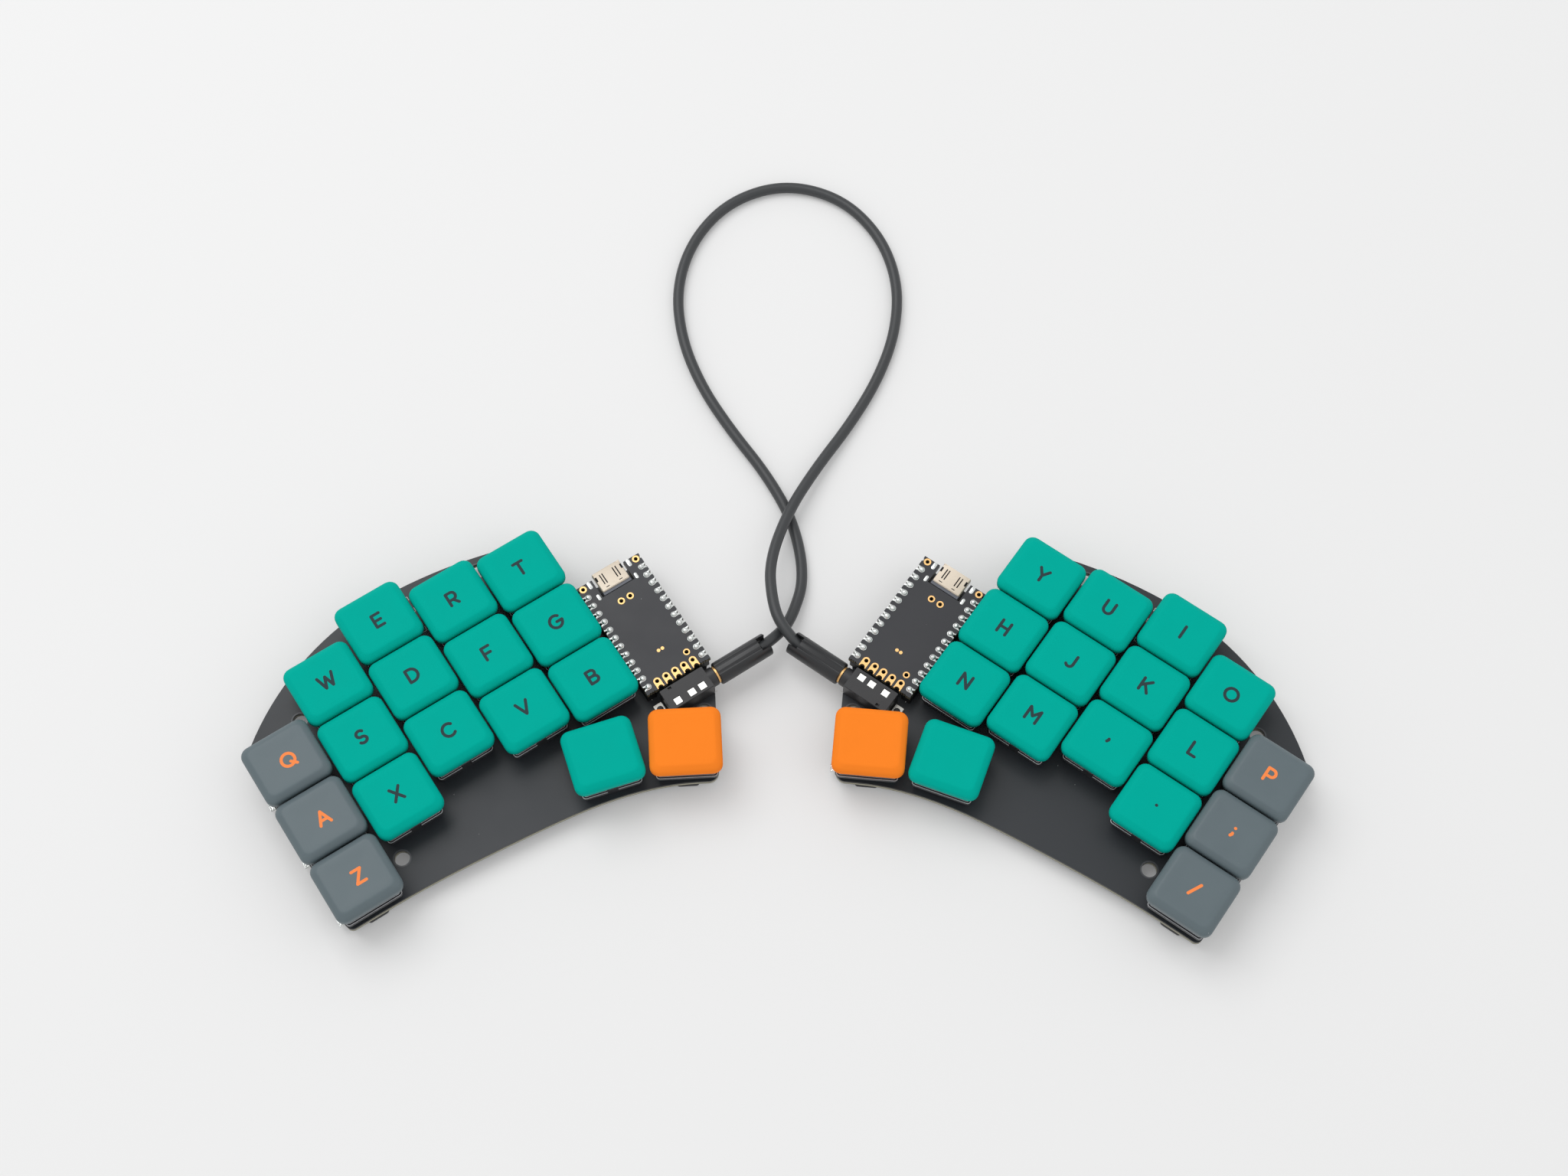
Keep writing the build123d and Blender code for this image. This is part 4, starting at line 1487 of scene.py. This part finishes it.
@dataclass
class Controller:
    """The small controller board on its header, with its solder joints, pads and data port.

    Its frame has its origin at the middle of the board's port end, and is turned but not mirrored,
    because both halves carry the same module. The port's blocks are centre, size and two depths
    below the port's upper face.
    """

    centre_x: float = 54.2
    top_y: float = -17.6
    length: float = 33.3
    width: float = 18.0
    top: float = 5.5
    thickness: float = 1.5
    row_offset: float = 7.62
    pitch: float = 2.54
    first: float = 1.02
    places: int = 13
    pin_hole: float = 0.5
    hole_steps: int = 16
    nick_steps: int = 6
    nick: float = 0.42
    port_cut: Point = (9.15, 5.4)
    end_pads: tuple[float, ...] = (-5.08, -2.54, 0.0, 2.54, 5.08)
    end_pad_hole: float = 0.52
    end_pad_y: float = -31.4
    end_nick: float = 0.72
    pad_width: float = 1.86
    bite: float = 0.22
    bite_spots: tuple[float, ...] = (-7.55, 6.9)
    bite_shifts: tuple[float, ...] = (-0.6, 0.0, 0.6)
    slots: tuple[tuple[float, float, float, float], ...] = (
        (-5.65, -0.95, 0.95, 2.1), (5.65, -0.95, 0.95, 2.1), (-5.4, -4.9, 0.75, 1.7), (5.4, -4.9, 0.75, 1.7),
    )
    slot_gap: float = 0.01
    slot_root: float = 0.05
    slot_bevel: float = 0.18
    slot_rise: Point = (0.05, 0.11)
    vias: tuple[Point, ...] = ((-1.27, -8.7), (1.27, -8.7))
    dots: tuple[Point, ...] = ((-0.55, -24.8), (0.55, -24.8))
    ring_spot: Point = (4.95, -28.85)
    pad_steps: int = 24
    first_pad: float = 0.93
    via_pad: float = 0.9
    ring_pad: float = 0.85
    dot: float = 0.45
    dot_steps: int = 20
    film: float = 0.035
    joint: float = 0.78
    joint_tail: tuple[Point, ...] = ((0.5, 0.7), (1.0, 0.66), (1.37, 0.84), (1.37, 0.42), (0.98, 0.26))
    joint_edge: Point = (0.8, 0.0)
    joint_taper: Point = (0.93, 0.9)
    joint_heights: tuple[float, float, float] = (-0.02, 0.07, 0.13)
    mound: tuple[Point, ...] = (
        (1.0, 0.1), (0.94, 0.26), (0.8, 0.42), (0.58, 0.54), (0.32, 0.6), (0.12, 0.61),
    )
    mound_size: Point = (0.7, 0.64)
    mound_shift: float = 0.05
    joint_size_spread: float = 0.07
    joint_turn_spread: float = 8.0
    port_width: float = 7.8
    port_length: float = 5.5
    port_proud: float = 1.05
    port_height: float = 2.8
    port_above: float = 0.5
    port_cant: Point = (0.9, 0.4)
    port_corner: float = 0.35
    port_low_corner: float = 0.3
    port_rear: tuple[Point, ...] = ((0.25, 0.0), (0.05, 0.2))
    port_outside: tuple[Point, ...] = ((0.05, 0.3), (0.0, 0.05), (0.1, 0.0))
    port_inside: tuple[Point, ...] = ((0.35, 0.05), (0.45, 0.5))
    port_floor: float = 0.4
    slits: tuple[Block, ...] = (
        *(((x, -1.4), (0.3, 2.9), 0.1, 0.044) for x in (-2.3, -1.6, 1.4, 2.2)),
        *(((x, -3.7), (0.9, 0.22), 0.1, 0.044) for x in (-2.0, 1.7)),
        *(((x, -0.75), (0.5, 1.3), 0.75, 0.044) for x in (-3.55, 3.55)),
        ((0.0, -4.87), (8.7, 1.3), 1.7, 0.75),
        ((0.0, -1.2), (3.6, 3.6), 1.75, 1.1),
    )
    heel: tuple[Block, ...] = (((0.0, -4.75), (7.9, 0.95), 1.5, 0.45),)
    lips: tuple[Block, ...] = (
        ((-3.45, 0.77), (0.75, 0.4), 1.4, 0.02), ((3.45, 0.77), (0.75, 0.4), 1.4, 0.02),
    )
    lip_bevel: float = 0.06

    def rows(self) -> list[float]:
        """Give the header places' distances along the board."""
        return [-self.first - place * self.pitch for place in range(self.places)]

    def pins(self) -> list[Point]:
        """List the header places: the first one of each row has no pin."""
        return [(side * self.row_offset, y) for side in (-1, 1) for y in self.rows()]

    def outline(self) -> list[Point]:
        """Trace the board's edge with the port's cut-out, half-round nicks and break-off marks.

        Returns:
            The outline, clockwise from the port end.
        """
        side = self.width / 2
        ends = [(x, self.end_nick) for x in self.end_pads]
        ends += [(x + shift, self.bite) for x in self.bite_spots for shift in self.bite_shifts]
        points = [(-side, 0.0)]
        for y in self.rows():
            points += sweep((-side, y), self.nick, self.nick, 90.0, -90.0, self.nick_steps)
        points.append((-side, -self.length))
        for x, radius in sorted(ends):
            points += sweep((x, -self.length), radius, radius, 180.0, 0.0, self.nick_steps)
        points.append((side, -self.length))
        for y in reversed(self.rows()):
            points += sweep((side, y), self.nick, self.nick, -90.0, -270.0, self.nick_steps)
        cut, depth = self.port_cut[0] / 2, -self.port_cut[1]
        return [*points, (side, 0.0), (cut, 0.0), (cut, depth), (-cut, depth), (-cut, 0.0)]

    def board_shape(self) -> Shape:
        """Build the board with its holes.

        Returns:
            The board.
        """
        shape = Shape()
        holes = [circle(self.pin_hole, spot, self.hole_steps) for spot in self.pins()]
        wide = [*((x, self.end_pad_y) for x in self.end_pads), *self.vias, self.ring_spot]
        holes += [circle(self.end_pad_hole, spot, self.hole_steps) for spot in wide]
        shape.plate(self.outline(), holes, self.top - self.thickness, self.top)
        return shape

    def pad_shape(self) -> Shape:
        """Build the bare gold pads: first pads, end pads, vias and test dots.

        Returns:
            The pads, a film on the board.
        """
        shape = Shape()
        high = self.top + self.film
        pads = []
        for side in (-1, 1):
            spot = (side * self.row_offset, -self.first)
            pads.append((circle(self.first_pad, spot, self.pad_steps), spot, self.pin_hole))
        for x in self.end_pads:
            spot = (x, self.end_pad_y)
            reach = self.pad_width / 2
            arch = [(x + reach, -self.length), *sweep(spot, reach, reach, 0.0, 180.0, 12)]
            nick = sweep((x, -self.length), self.end_nick, self.end_nick, 180.0, 0.0, 8)
            pads.append(([*arch, (x - reach, -self.length), *nick], spot, self.end_pad_hole))
        for spot, radius in (*((via, self.via_pad) for via in self.vias), (self.ring_spot, self.ring_pad)):
            pads.append((circle(radius, spot, self.pad_steps), spot, self.end_pad_hole))
        for outline, spot, hole in pads:
            shape.plate(outline, [circle(hole, spot, self.hole_steps)], self.top, high)
        for spot in self.dots:
            shape.prism(circle(self.dot, spot, self.dot_steps), self.top, high)
        return shape

    def slot_shape(self) -> Shape:
        """Build the tinned oval slots that hold the port's legs.

        Returns:
            The filled slots.
        """
        shape = Shape()
        edge, crown = self.slot_rise
        for x, y, width, length in self.slots:
            outline = moved(rounded_rectangle(width, length, width / 2 - self.slot_gap), x, y)
            inner = shrunk(outline, self.slot_bevel)
            outlines = [(outline, self.top - self.slot_root), (outline, self.top + edge)]
            shape.stack([*outlines, (inner, self.top + crown)])
        return shape

    def joint_shape(self) -> Shape:
        """Build one solder joint: a tinned pad with two tails beside the nick, and a mound on the pin.

        Returns:
            The joint about its pin, with its edge at +X.
        """
        shape = Shape(sharp=70.0)
        outline = sweep((0.0, 0.0), self.joint, self.joint, 90.0, 270.0, 8)
        outline += [(x, -y) for x, y in self.joint_tail]
        outline += [self.joint_edge, *reversed(self.joint_tail)]
        near = [(self.joint_taper[0] * x, self.joint_taper[1] * y) for x, y in outline]
        shape.stack(list(zip((outline, outline, near), self.joint_heights)))
        mound = []
        for share, height in self.mound:
            across, up = share * self.mound_size[0], share * self.mound_size[1]
            ring = sweep((self.mound_shift, 0.0), across, up, 0.0, 360.0, self.dot_steps)
            mound.append((ring[:-1], height))
        shape.stack(mound)
        return shape

    def joint_spots(self, place: Matrix) -> list[Matrix]:
        """List the joints' places, each turned to face its edge.

        Args:
            place: the controller's matrix.

        Returns:
            A matrix for each header pin.
        """
        spots = []
        for x, y in self.pins():
            if y == -self.first:
                continue
            turn = Matrix.Rotation(0.0 if x > 0 else math.pi, 4, "Z")
            spots.append(place @ Matrix.Translation((x, y, self.top)) @ turn)
        return spots

    def port_section(self, inset: float) -> list[Point]:
        """Give the data port's section as (x, z): flat on top, with slanted lower corners.

        Args:
            inset: how far it is brought in.

        Returns:
            The section's points, five on each of its six round corners.
        """
        half_width = self.port_width / 2 - inset
        high = self.port_height / 2 - inset
        cut = self.port_cant[0] - self.port_cant[1] * inset
        wide, low = self.port_corner, self.port_low_corner
        corners = (
            (half_width, high, wide), (-half_width, high, wide), (-half_width, cut - high, low),
            (cut - half_width, -high, low), (half_width - cut, -high, low), (half_width, cut - high, low),
        )
        section = []
        for here, (x, z, radius) in enumerate(corners):
            point = Vector((x, z))
            before = Vector(corners[here - 1][:2]) - point
            after = Vector(corners[(here + 1) % len(corners)][:2]) - point
            start = point + before.normalized() * radius
            end = point + after.normalized() * radius
            for share in (0.0, 0.25, 0.5, 0.75, 1.0):
                bend = start.lerp(point, share).lerp(point.lerp(end, share), share)
                section.append((bend.x, bend.y))
        return section

    def port_shape(self) -> Shape:
        """Build the port's folded steel shell with its rounded mouth.

        Returns:
            The shell.
        """
        shape = Shape()
        middle = self.top + self.port_above - self.port_height / 2
        front, back = self.port_proud, self.port_proud - self.port_length
        profile = [(inset, back + depth) for inset, depth in self.port_rear]
        profile += [(inset, front - depth) for inset, depth in (*self.port_outside, *self.port_inside)]
        profile.append((self.port_inside[-1][0], back + self.port_floor))
        rings = []
        for inset, depth in profile:
            rings.append([Vector((x, depth, middle + z)) for x, z in self.port_section(inset)])
        shape.loft(rings)
        return shape

    def blocks(self, blocks: tuple[Block, ...], bevel: float = 0.0) -> Shape:
        """Build plain blocks of the port.

        Args:
            blocks: their centres, sizes and depths.
            bevel: width of their bevels.

        Returns:
            One shape with all of them.
        """
        shape = Shape()
        high = self.top + self.port_above
        for centre, size, low, up in blocks:
            shape.block(centre, size, high - low, high - up, bevel)
        return shape

    def build(self, half: Half) -> None:
        """Set one half's controller.

        Args:
            half: the half that gets it.
        """
        place = half.spot(self.centre_x, self.top_y)
        ports = ("data_ports",) if half.hand is Hand.LEFT else ()
        parts = (
            ("controller_board", self.board_shape(), CONTROLLER_MASK, (f"{half.name}_controller",)),
            ("controller_pads", self.pad_shape(), GOLD, ()),
            ("controller_slots", self.slot_shape(), SOLDER, ()),
        )
        Piece.fix(half, place, parts)
        joint = self.joint_shape().to_mesh("joint", IDENTITY)
        spreads = (self.joint_size_spread, self.joint_turn_spread)
        joints = PatternTree.lay(joint, self.joint_spots(place), SOLDER, *spreads, seed=11)
        Piece.add(f"{half.name}_solder_joints", joints, SOLDER)
        parts = (
            ("port_shell", self.port_shape(), PORT_STEEL, ports),
            ("port_slits", self.blocks(self.slits), PORT_DARK, ()),
            ("port_heel", self.blocks(self.heel, self.lip_bevel), PORT_GRAY, ()),
            ("port_lips", self.blocks(self.lips, self.lip_bevel), PORT_STEEL, ()),
        )
        Piece.fix(half, place, parts)


# Jack and plug


@dataclass
class Jack:
    """The audio jack that the cable's plug goes into."""

    centre: Point = (54.2, -54.4)
    length: float = 12.1
    width: float = 6.0
    height: float = 5.0
    corner: float = 0.25
    nose_radius: float = 2.45
    nose_length: float = 1.95
    nose_bevel: float = 0.2
    nose_root: float = 0.1
    axis: float = 2.5
    bore: float = 1.85
    windows: tuple[float, ...] = (-3.35, 0.65, 3.62)
    window: Point = (1.95, 1.85)
    window_corner: float = 0.15
    window_offset: float = 1.35
    window_depth: float = 0.6
    notch: Point = (0.95, 0.7)
    notch_corner: float = 0.05
    notch_spot: Point = (-3.5, 2.35)
    edge: float = 0.18
    mark_offsets: Point = (-4.3, 4.9)
    mark_side: float = 1.6
    mark_radii: Point = (0.8, 0.68)
    mark_steps: int = 28
    mark_high: float = 0.015
    mark_depth: float = 0.03

    def shape(self, hand: Hand) -> Shape:
        """Build the jack's moulded body and nose.

        Args:
            hand: which half it is on: the windows are always on the same side of the module.

        Returns:
            The shape, in the left half's millimetres.
        """
        shape = Shape()
        x0, y0 = self.centre
        outline = moved(rounded_rectangle(self.length, self.width, self.corner, 3), x0, y0)
        floor = self.height - self.window_depth
        ledge = self.height - self.edge
        window = rounded_rectangle(*self.window, self.window_corner, 3)
        side = y0 - hand.value * self.window_offset
        holes = [moved(window, x0 + offset, side) for offset in self.windows]
        notch = rounded_rectangle(*self.notch, self.notch_corner, 2)
        holes.append(moved(notch, x0 + self.notch_spot[0], y0 + hand.value * self.notch_spot[1]))
        shape.stack([(outline, 0.0), (outline, floor)])
        shape.plate(outline, holes, floor, ledge)
        shape.plate(shrunk(outline, self.edge / 2), holes, ledge, self.height)
        root = x0 + self.length / 2 - self.nose_root
        tip = x0 + self.length / 2 + self.nose_length
        profile = [(self.nose_radius, root), (self.nose_radius, tip - self.nose_bevel)]
        profile += [(self.nose_radius - self.nose_bevel, tip), (self.bore, tip), (self.bore, root)]
        rings = []
        for radius, x in (*profile, profile[0]):
            rings.append([Vector((x, y0 + y, self.axis + z)) for y, z in circle(radius)])
        shape.loft(rings, closed=False)
        return shape

    def mark_shape(self, hand: Hand) -> Shape:
        """Build the two shallow round ejector marks on the jack's upper face.

        Args:
            hand: which half the jack is on.

        Returns:
            The shape, in the left half's millimetres.
        """
        shape = Shape()
        high = self.height + self.mark_high
        for offset in self.mark_offsets:
            centre = (self.centre[0] + offset, self.centre[1] + hand.value * self.mark_side)
            outer, inner = (circle(radius, centre, self.mark_steps) for radius in self.mark_radii)
            shape.washer(outer, inner, high - self.mark_depth, high)
        return shape

    def build(self, half: Half) -> None:
        """Set one half's jack.

        Args:
            half: the half that gets it.
        """
        parts = (
            ("jack_body", self.shape(half.hand), JACK_PLASTIC, (f"{half.name}_audio_jack",)),
            ("jack_marks", self.mark_shape(half.hand), JACK_PLASTIC, ()),
        )
        Piece.fix(half, half.mirrored(), parts)


@dataclass
class Plug:
    """The moulded grip of the cable's plug: flats, long grooves and a forked rear end."""

    start: float = 62.7
    length: float = 14.8
    radius: float = 2.95
    flat: float = 2.6
    flat_crown: float = 0.15
    groove_offset: float = 0.9
    groove: float = 0.3
    groove_width: float = 0.26
    groove_reach: float = 0.6
    nose_profile: tuple[Spot, ...] = ((0.0, 0.45, 0.0), (0.12, 0.15, 0.05), (0.4, 0.0, 0.3))
    fork_depth: float = 2.4
    fork_gap: float = 3.4
    fork_root: float = 0.05
    fork_profile: tuple[Point, ...] = ((0.35, 0.02), (0.1, 0.15), (0.0, 0.4))
    centre_y: float = -54.4
    axis: float = 2.5
    steps: int = 96

    def section(self, inset: float, groove: float) -> list[Point]:
        """Give the grip's section.

        Args:
            inset: how far it is brought in.
            groove: depth of its grooves.

        Returns:
            The section's points as (y, z).
        """
        points = []
        radius = self.radius - inset
        limit = self.flat - inset
        for y, z in circle(radius, steps=self.steps):
            if abs(z) > limit:
                z = math.copysign(limit + self.flat_crown * (abs(z) - limit), z)
            for offset in (-self.groove_offset, self.groove_offset):
                dip = groove * math.exp(-(((y - offset) / self.groove_width) ** 2))
                z -= math.copysign(dip if abs(z) > self.groove_reach * limit else 0.0, z)
            points.append((y, min(max(z, -limit), limit)))
        return points

    def ring(self, x: float, section: list[Point]) -> Ring:
        """Set a section at a place along the grip."""
        return [Vector((x, self.centre_y + y, self.axis + z)) for y, z in section]

    def shape(self) -> Shape:
        """Build the grip and its two rear prongs.

        Returns:
            The grip, in the left half's millimetres.
        """
        shape = Shape(sharp=40.0)
        end = self.start + self.length
        relief = end - self.fork_depth
        grip = [(self.start + reach, inset, groove) for reach, inset, groove in self.nose_profile]
        grip.append((relief, 0.0, self.groove))
        shape.loft([self.ring(x, self.section(inset, groove)) for x, inset, groove in grip])
        prong = [(relief - self.fork_root, self.fork_profile[0][1])]
        prong += [(end - depth, inset) for depth, inset in self.fork_profile]
        for side in (-1, 1):
            rings = []
            for x, inset in prong:
                half = [(side * max(y * side, self.fork_gap / 2), z) for y, z in self.section(inset, 0.0)]
                rings.append(self.ring(x, half))
            shape.loft(rings)
        return shape

    def build(self, half: Half) -> bpy.types.Object:
        """Set one half's plug and give its object."""
        mesh = self.shape().to_mesh("plug", half.mirrored())
        return Piece.add(f"{half.name}_plug_grip", mesh, PLUG_PLASTIC, (f"{half.name}_plug",))


# Reset switch


@dataclass
class ResetSwitch:
    """The tiny reset switch: a body with a steel plate and a round black actuator."""

    centre: Point = (46.6, -54.1)
    length: float = 2.25
    width: float = 3.0
    height: float = 1.2
    corner: float = 0.2
    well_floor: float = 0.4
    button: float = 0.75
    gap: float = 0.1
    steps: int = 28
    button_high: float = 1.6
    dome: tuple[Point, ...] = ((0.0, 0.9), (0.0, 0.15), (0.1, 0.03), (0.3, 0.0))

    def body_shape(self) -> Shape:
        """Build the body with its round well.

        Returns:
            The body.
        """
        shape = Shape()
        outline = moved(rounded_rectangle(self.length, self.width, self.corner, 4), *self.centre)
        well = circle(self.button + self.gap, self.centre, self.steps)
        shape.stack([(outline, 0.0), (outline, self.well_floor)])
        shape.plate(outline, [well], self.well_floor, self.height)
        return shape

    def button_shape(self) -> Shape:
        """Build the actuator with its domed top.

        Returns:
            The actuator.
        """
        shape = Shape()
        rings = []
        for inset, drop in self.dome:
            rings.append((circle(self.button - inset, self.centre, self.steps), self.button_high - drop))
        shape.stack(rings)
        return shape

    def build(self, half: Half) -> None:
        """Set one half's reset switch.

        Args:
            half: the half that gets it.
        """
        name = half.name
        parts = (("reset_body", self.body_shape(), RESET_PLATE, (f"{name}_reset_switch",)),)
        Piece.fix(half, half.mirrored(), parts)
        button = self.button_shape().to_mesh("reset_actuator", half.mirrored())
        Piece.add(
            f"{name}_reset_actuator", button, RESET_BLACK, (f"{name}_reset_button",), f"{name}_reset_body"
        )


# Studio


@dataclass
class Studio:
    """The camera at the photograph's angle, the pale desk and the soft light."""

    eye: Spot = (0.00159, -0.1928, 0.5482)
    tilt: float = 23.14
    lens: float = 54.51
    sensor: float = 36.0
    near: float = 0.01
    desk_size: float = 6.0
    desk_color: Color = srgb(240, 240, 240)
    desk_roughness: float = 0.6
    desk_specular: float = 0.2
    plain_color: Color = srgb(237, 238, 238)
    plain_share: float = 0.15
    sky: float = 0.7
    aim: Spot = (0.0, 0.03, 0.0)
    key_power: float = 9.2
    key_place: Spot = (-0.6, 0.62, 1.35)
    fill_power: float = 1.2
    fill_place: Spot = (0.9, -0.3, 1.0)
    light_size: float = 1.2

    def camera(self) -> None:
        """Set the camera."""
        data = bpy.data.cameras.new("camera")
        data.lens = self.lens
        data.sensor_width = self.sensor
        data.sensor_fit = "HORIZONTAL"
        data.clip_start = self.near
        camera = in_scene("camera", data)
        camera.location = self.eye
        camera.rotation_euler = (math.radians(self.tilt), 0.0, 0.0)
        bpy.context.scene.camera = camera

    def desk(self) -> None:
        """Lay the desk's surface at z = 0."""
        reach = self.desk_size / 2
        mesh = bpy.data.meshes.new("desk")
        corners = [(x * reach, y * reach, 0) for x, y in ((-1, -1), (1, -1), (1, 1), (-1, 1))]
        mesh.from_pydata(corners, [], [(0, 1, 2, 3)])
        mesh.materials.append(self.desk_material())
        desk = in_scene("desk", mesh)

    def desk_material(self) -> bpy.types.Material:
        """Make the desk's material.

        Part of its own colour is shown as it is to the camera and to reflections, so that the
        shadows on it stay faint.

        Returns:
            The new material.
        """
        material = bpy.data.materials.new("desk")
        material.use_nodes = True
        nodes = material.node_tree.nodes
        wiring = Wiring(material.node_tree)
        shader = nodes["Principled BSDF"]
        wiring.put(shader, "Base Color", (*self.desk_color, 1.0))
        wiring.put(shader, "Roughness", self.desk_roughness)
        wiring.put(shader, "Specular IOR Level", self.desk_specular)
        path = wiring.add("ShaderNodeLightPath").outputs
        seen = path["Is Camera Ray"]
        for label in ("Is Glossy Ray", "Is Transmission Ray"):
            seen = wiring.math("MAXIMUM", seen, path[label])
        share = wiring.math("MULTIPLY", seen, self.plain_share)
        plain = wiring.add("ShaderNodeEmission", {"Color": (*self.plain_color, 1.0)}).outputs["Emission"]
        inputs = {"Fac": share, 1: shader.outputs["BSDF"], 2: plain}
        mixed = wiring.add("ShaderNodeMixShader", inputs).outputs[0]
        wiring.put(nodes["Material Output"], "Surface", mixed)
        return material

    def softbox(self, name: str, power: float, place: Spot) -> None:
        """Hang one square light that points at the keyboard.

        Args:
            name: the light's name.
            power: its power in watts.
            place: where it hangs.
        """
        data = bpy.data.lights.new(name, "AREA")
        data.energy = power
        data.size = self.light_size
        light = in_scene(name, data)
        light.location = place
        light.rotation_euler = (Vector(self.aim) - Vector(place)).to_track_quat("-Z", "Y").to_euler()

    def build(self) -> None:
        """Set up the whole studio."""
        self.camera()
        self.desk()
        world = bpy.data.worlds.new("sky")
        world.use_nodes = True
        background = world.node_tree.nodes["Background"].inputs
        background["Color"].default_value = (1.0, 1.0, 1.0, 1.0)
        background["Strength"].default_value = self.sky
        bpy.context.scene.world = world
        self.softbox("key_light", self.key_power, self.key_place)
        self.softbox("fill_light", self.fill_power, self.fill_place)
        bpy.context.scene.view_settings.view_transform = "Standard"


# Whole keyboard


KEPT_NODES: dict[str, Finish] = {
    "header_strips": STRIP_PLASTIC,
    "header_pins": SOLDER,
    "jack_contacts": CONTACT,
    "plug_barrels": GOLD,
}


def main() -> None:
    """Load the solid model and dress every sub-assembly."""
    logging.basicConfig(level=logging.INFO, format="%(message)s")
    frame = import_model()
    Studio().build()
    halves = [LEFT_HALF, RIGHT_HALF]
    plugs = [Plug().build(half) for half in halves]
    Cable().build(plugs)
    keys = Keys()
    switches = Switches()
    board = MainBoard()
    for half in halves:
        board.build(frame, half)
        switches.build(half)
        keys.build(half)
        Controller().build(half)
        Jack().build(half)
        ResetSwitch().build(half)
    board.build_feet(halves)
    for name, finish in KEPT_NODES.items():
        Piece.refinish(frame, name, finish)


if __name__ == "__main__":
    main()
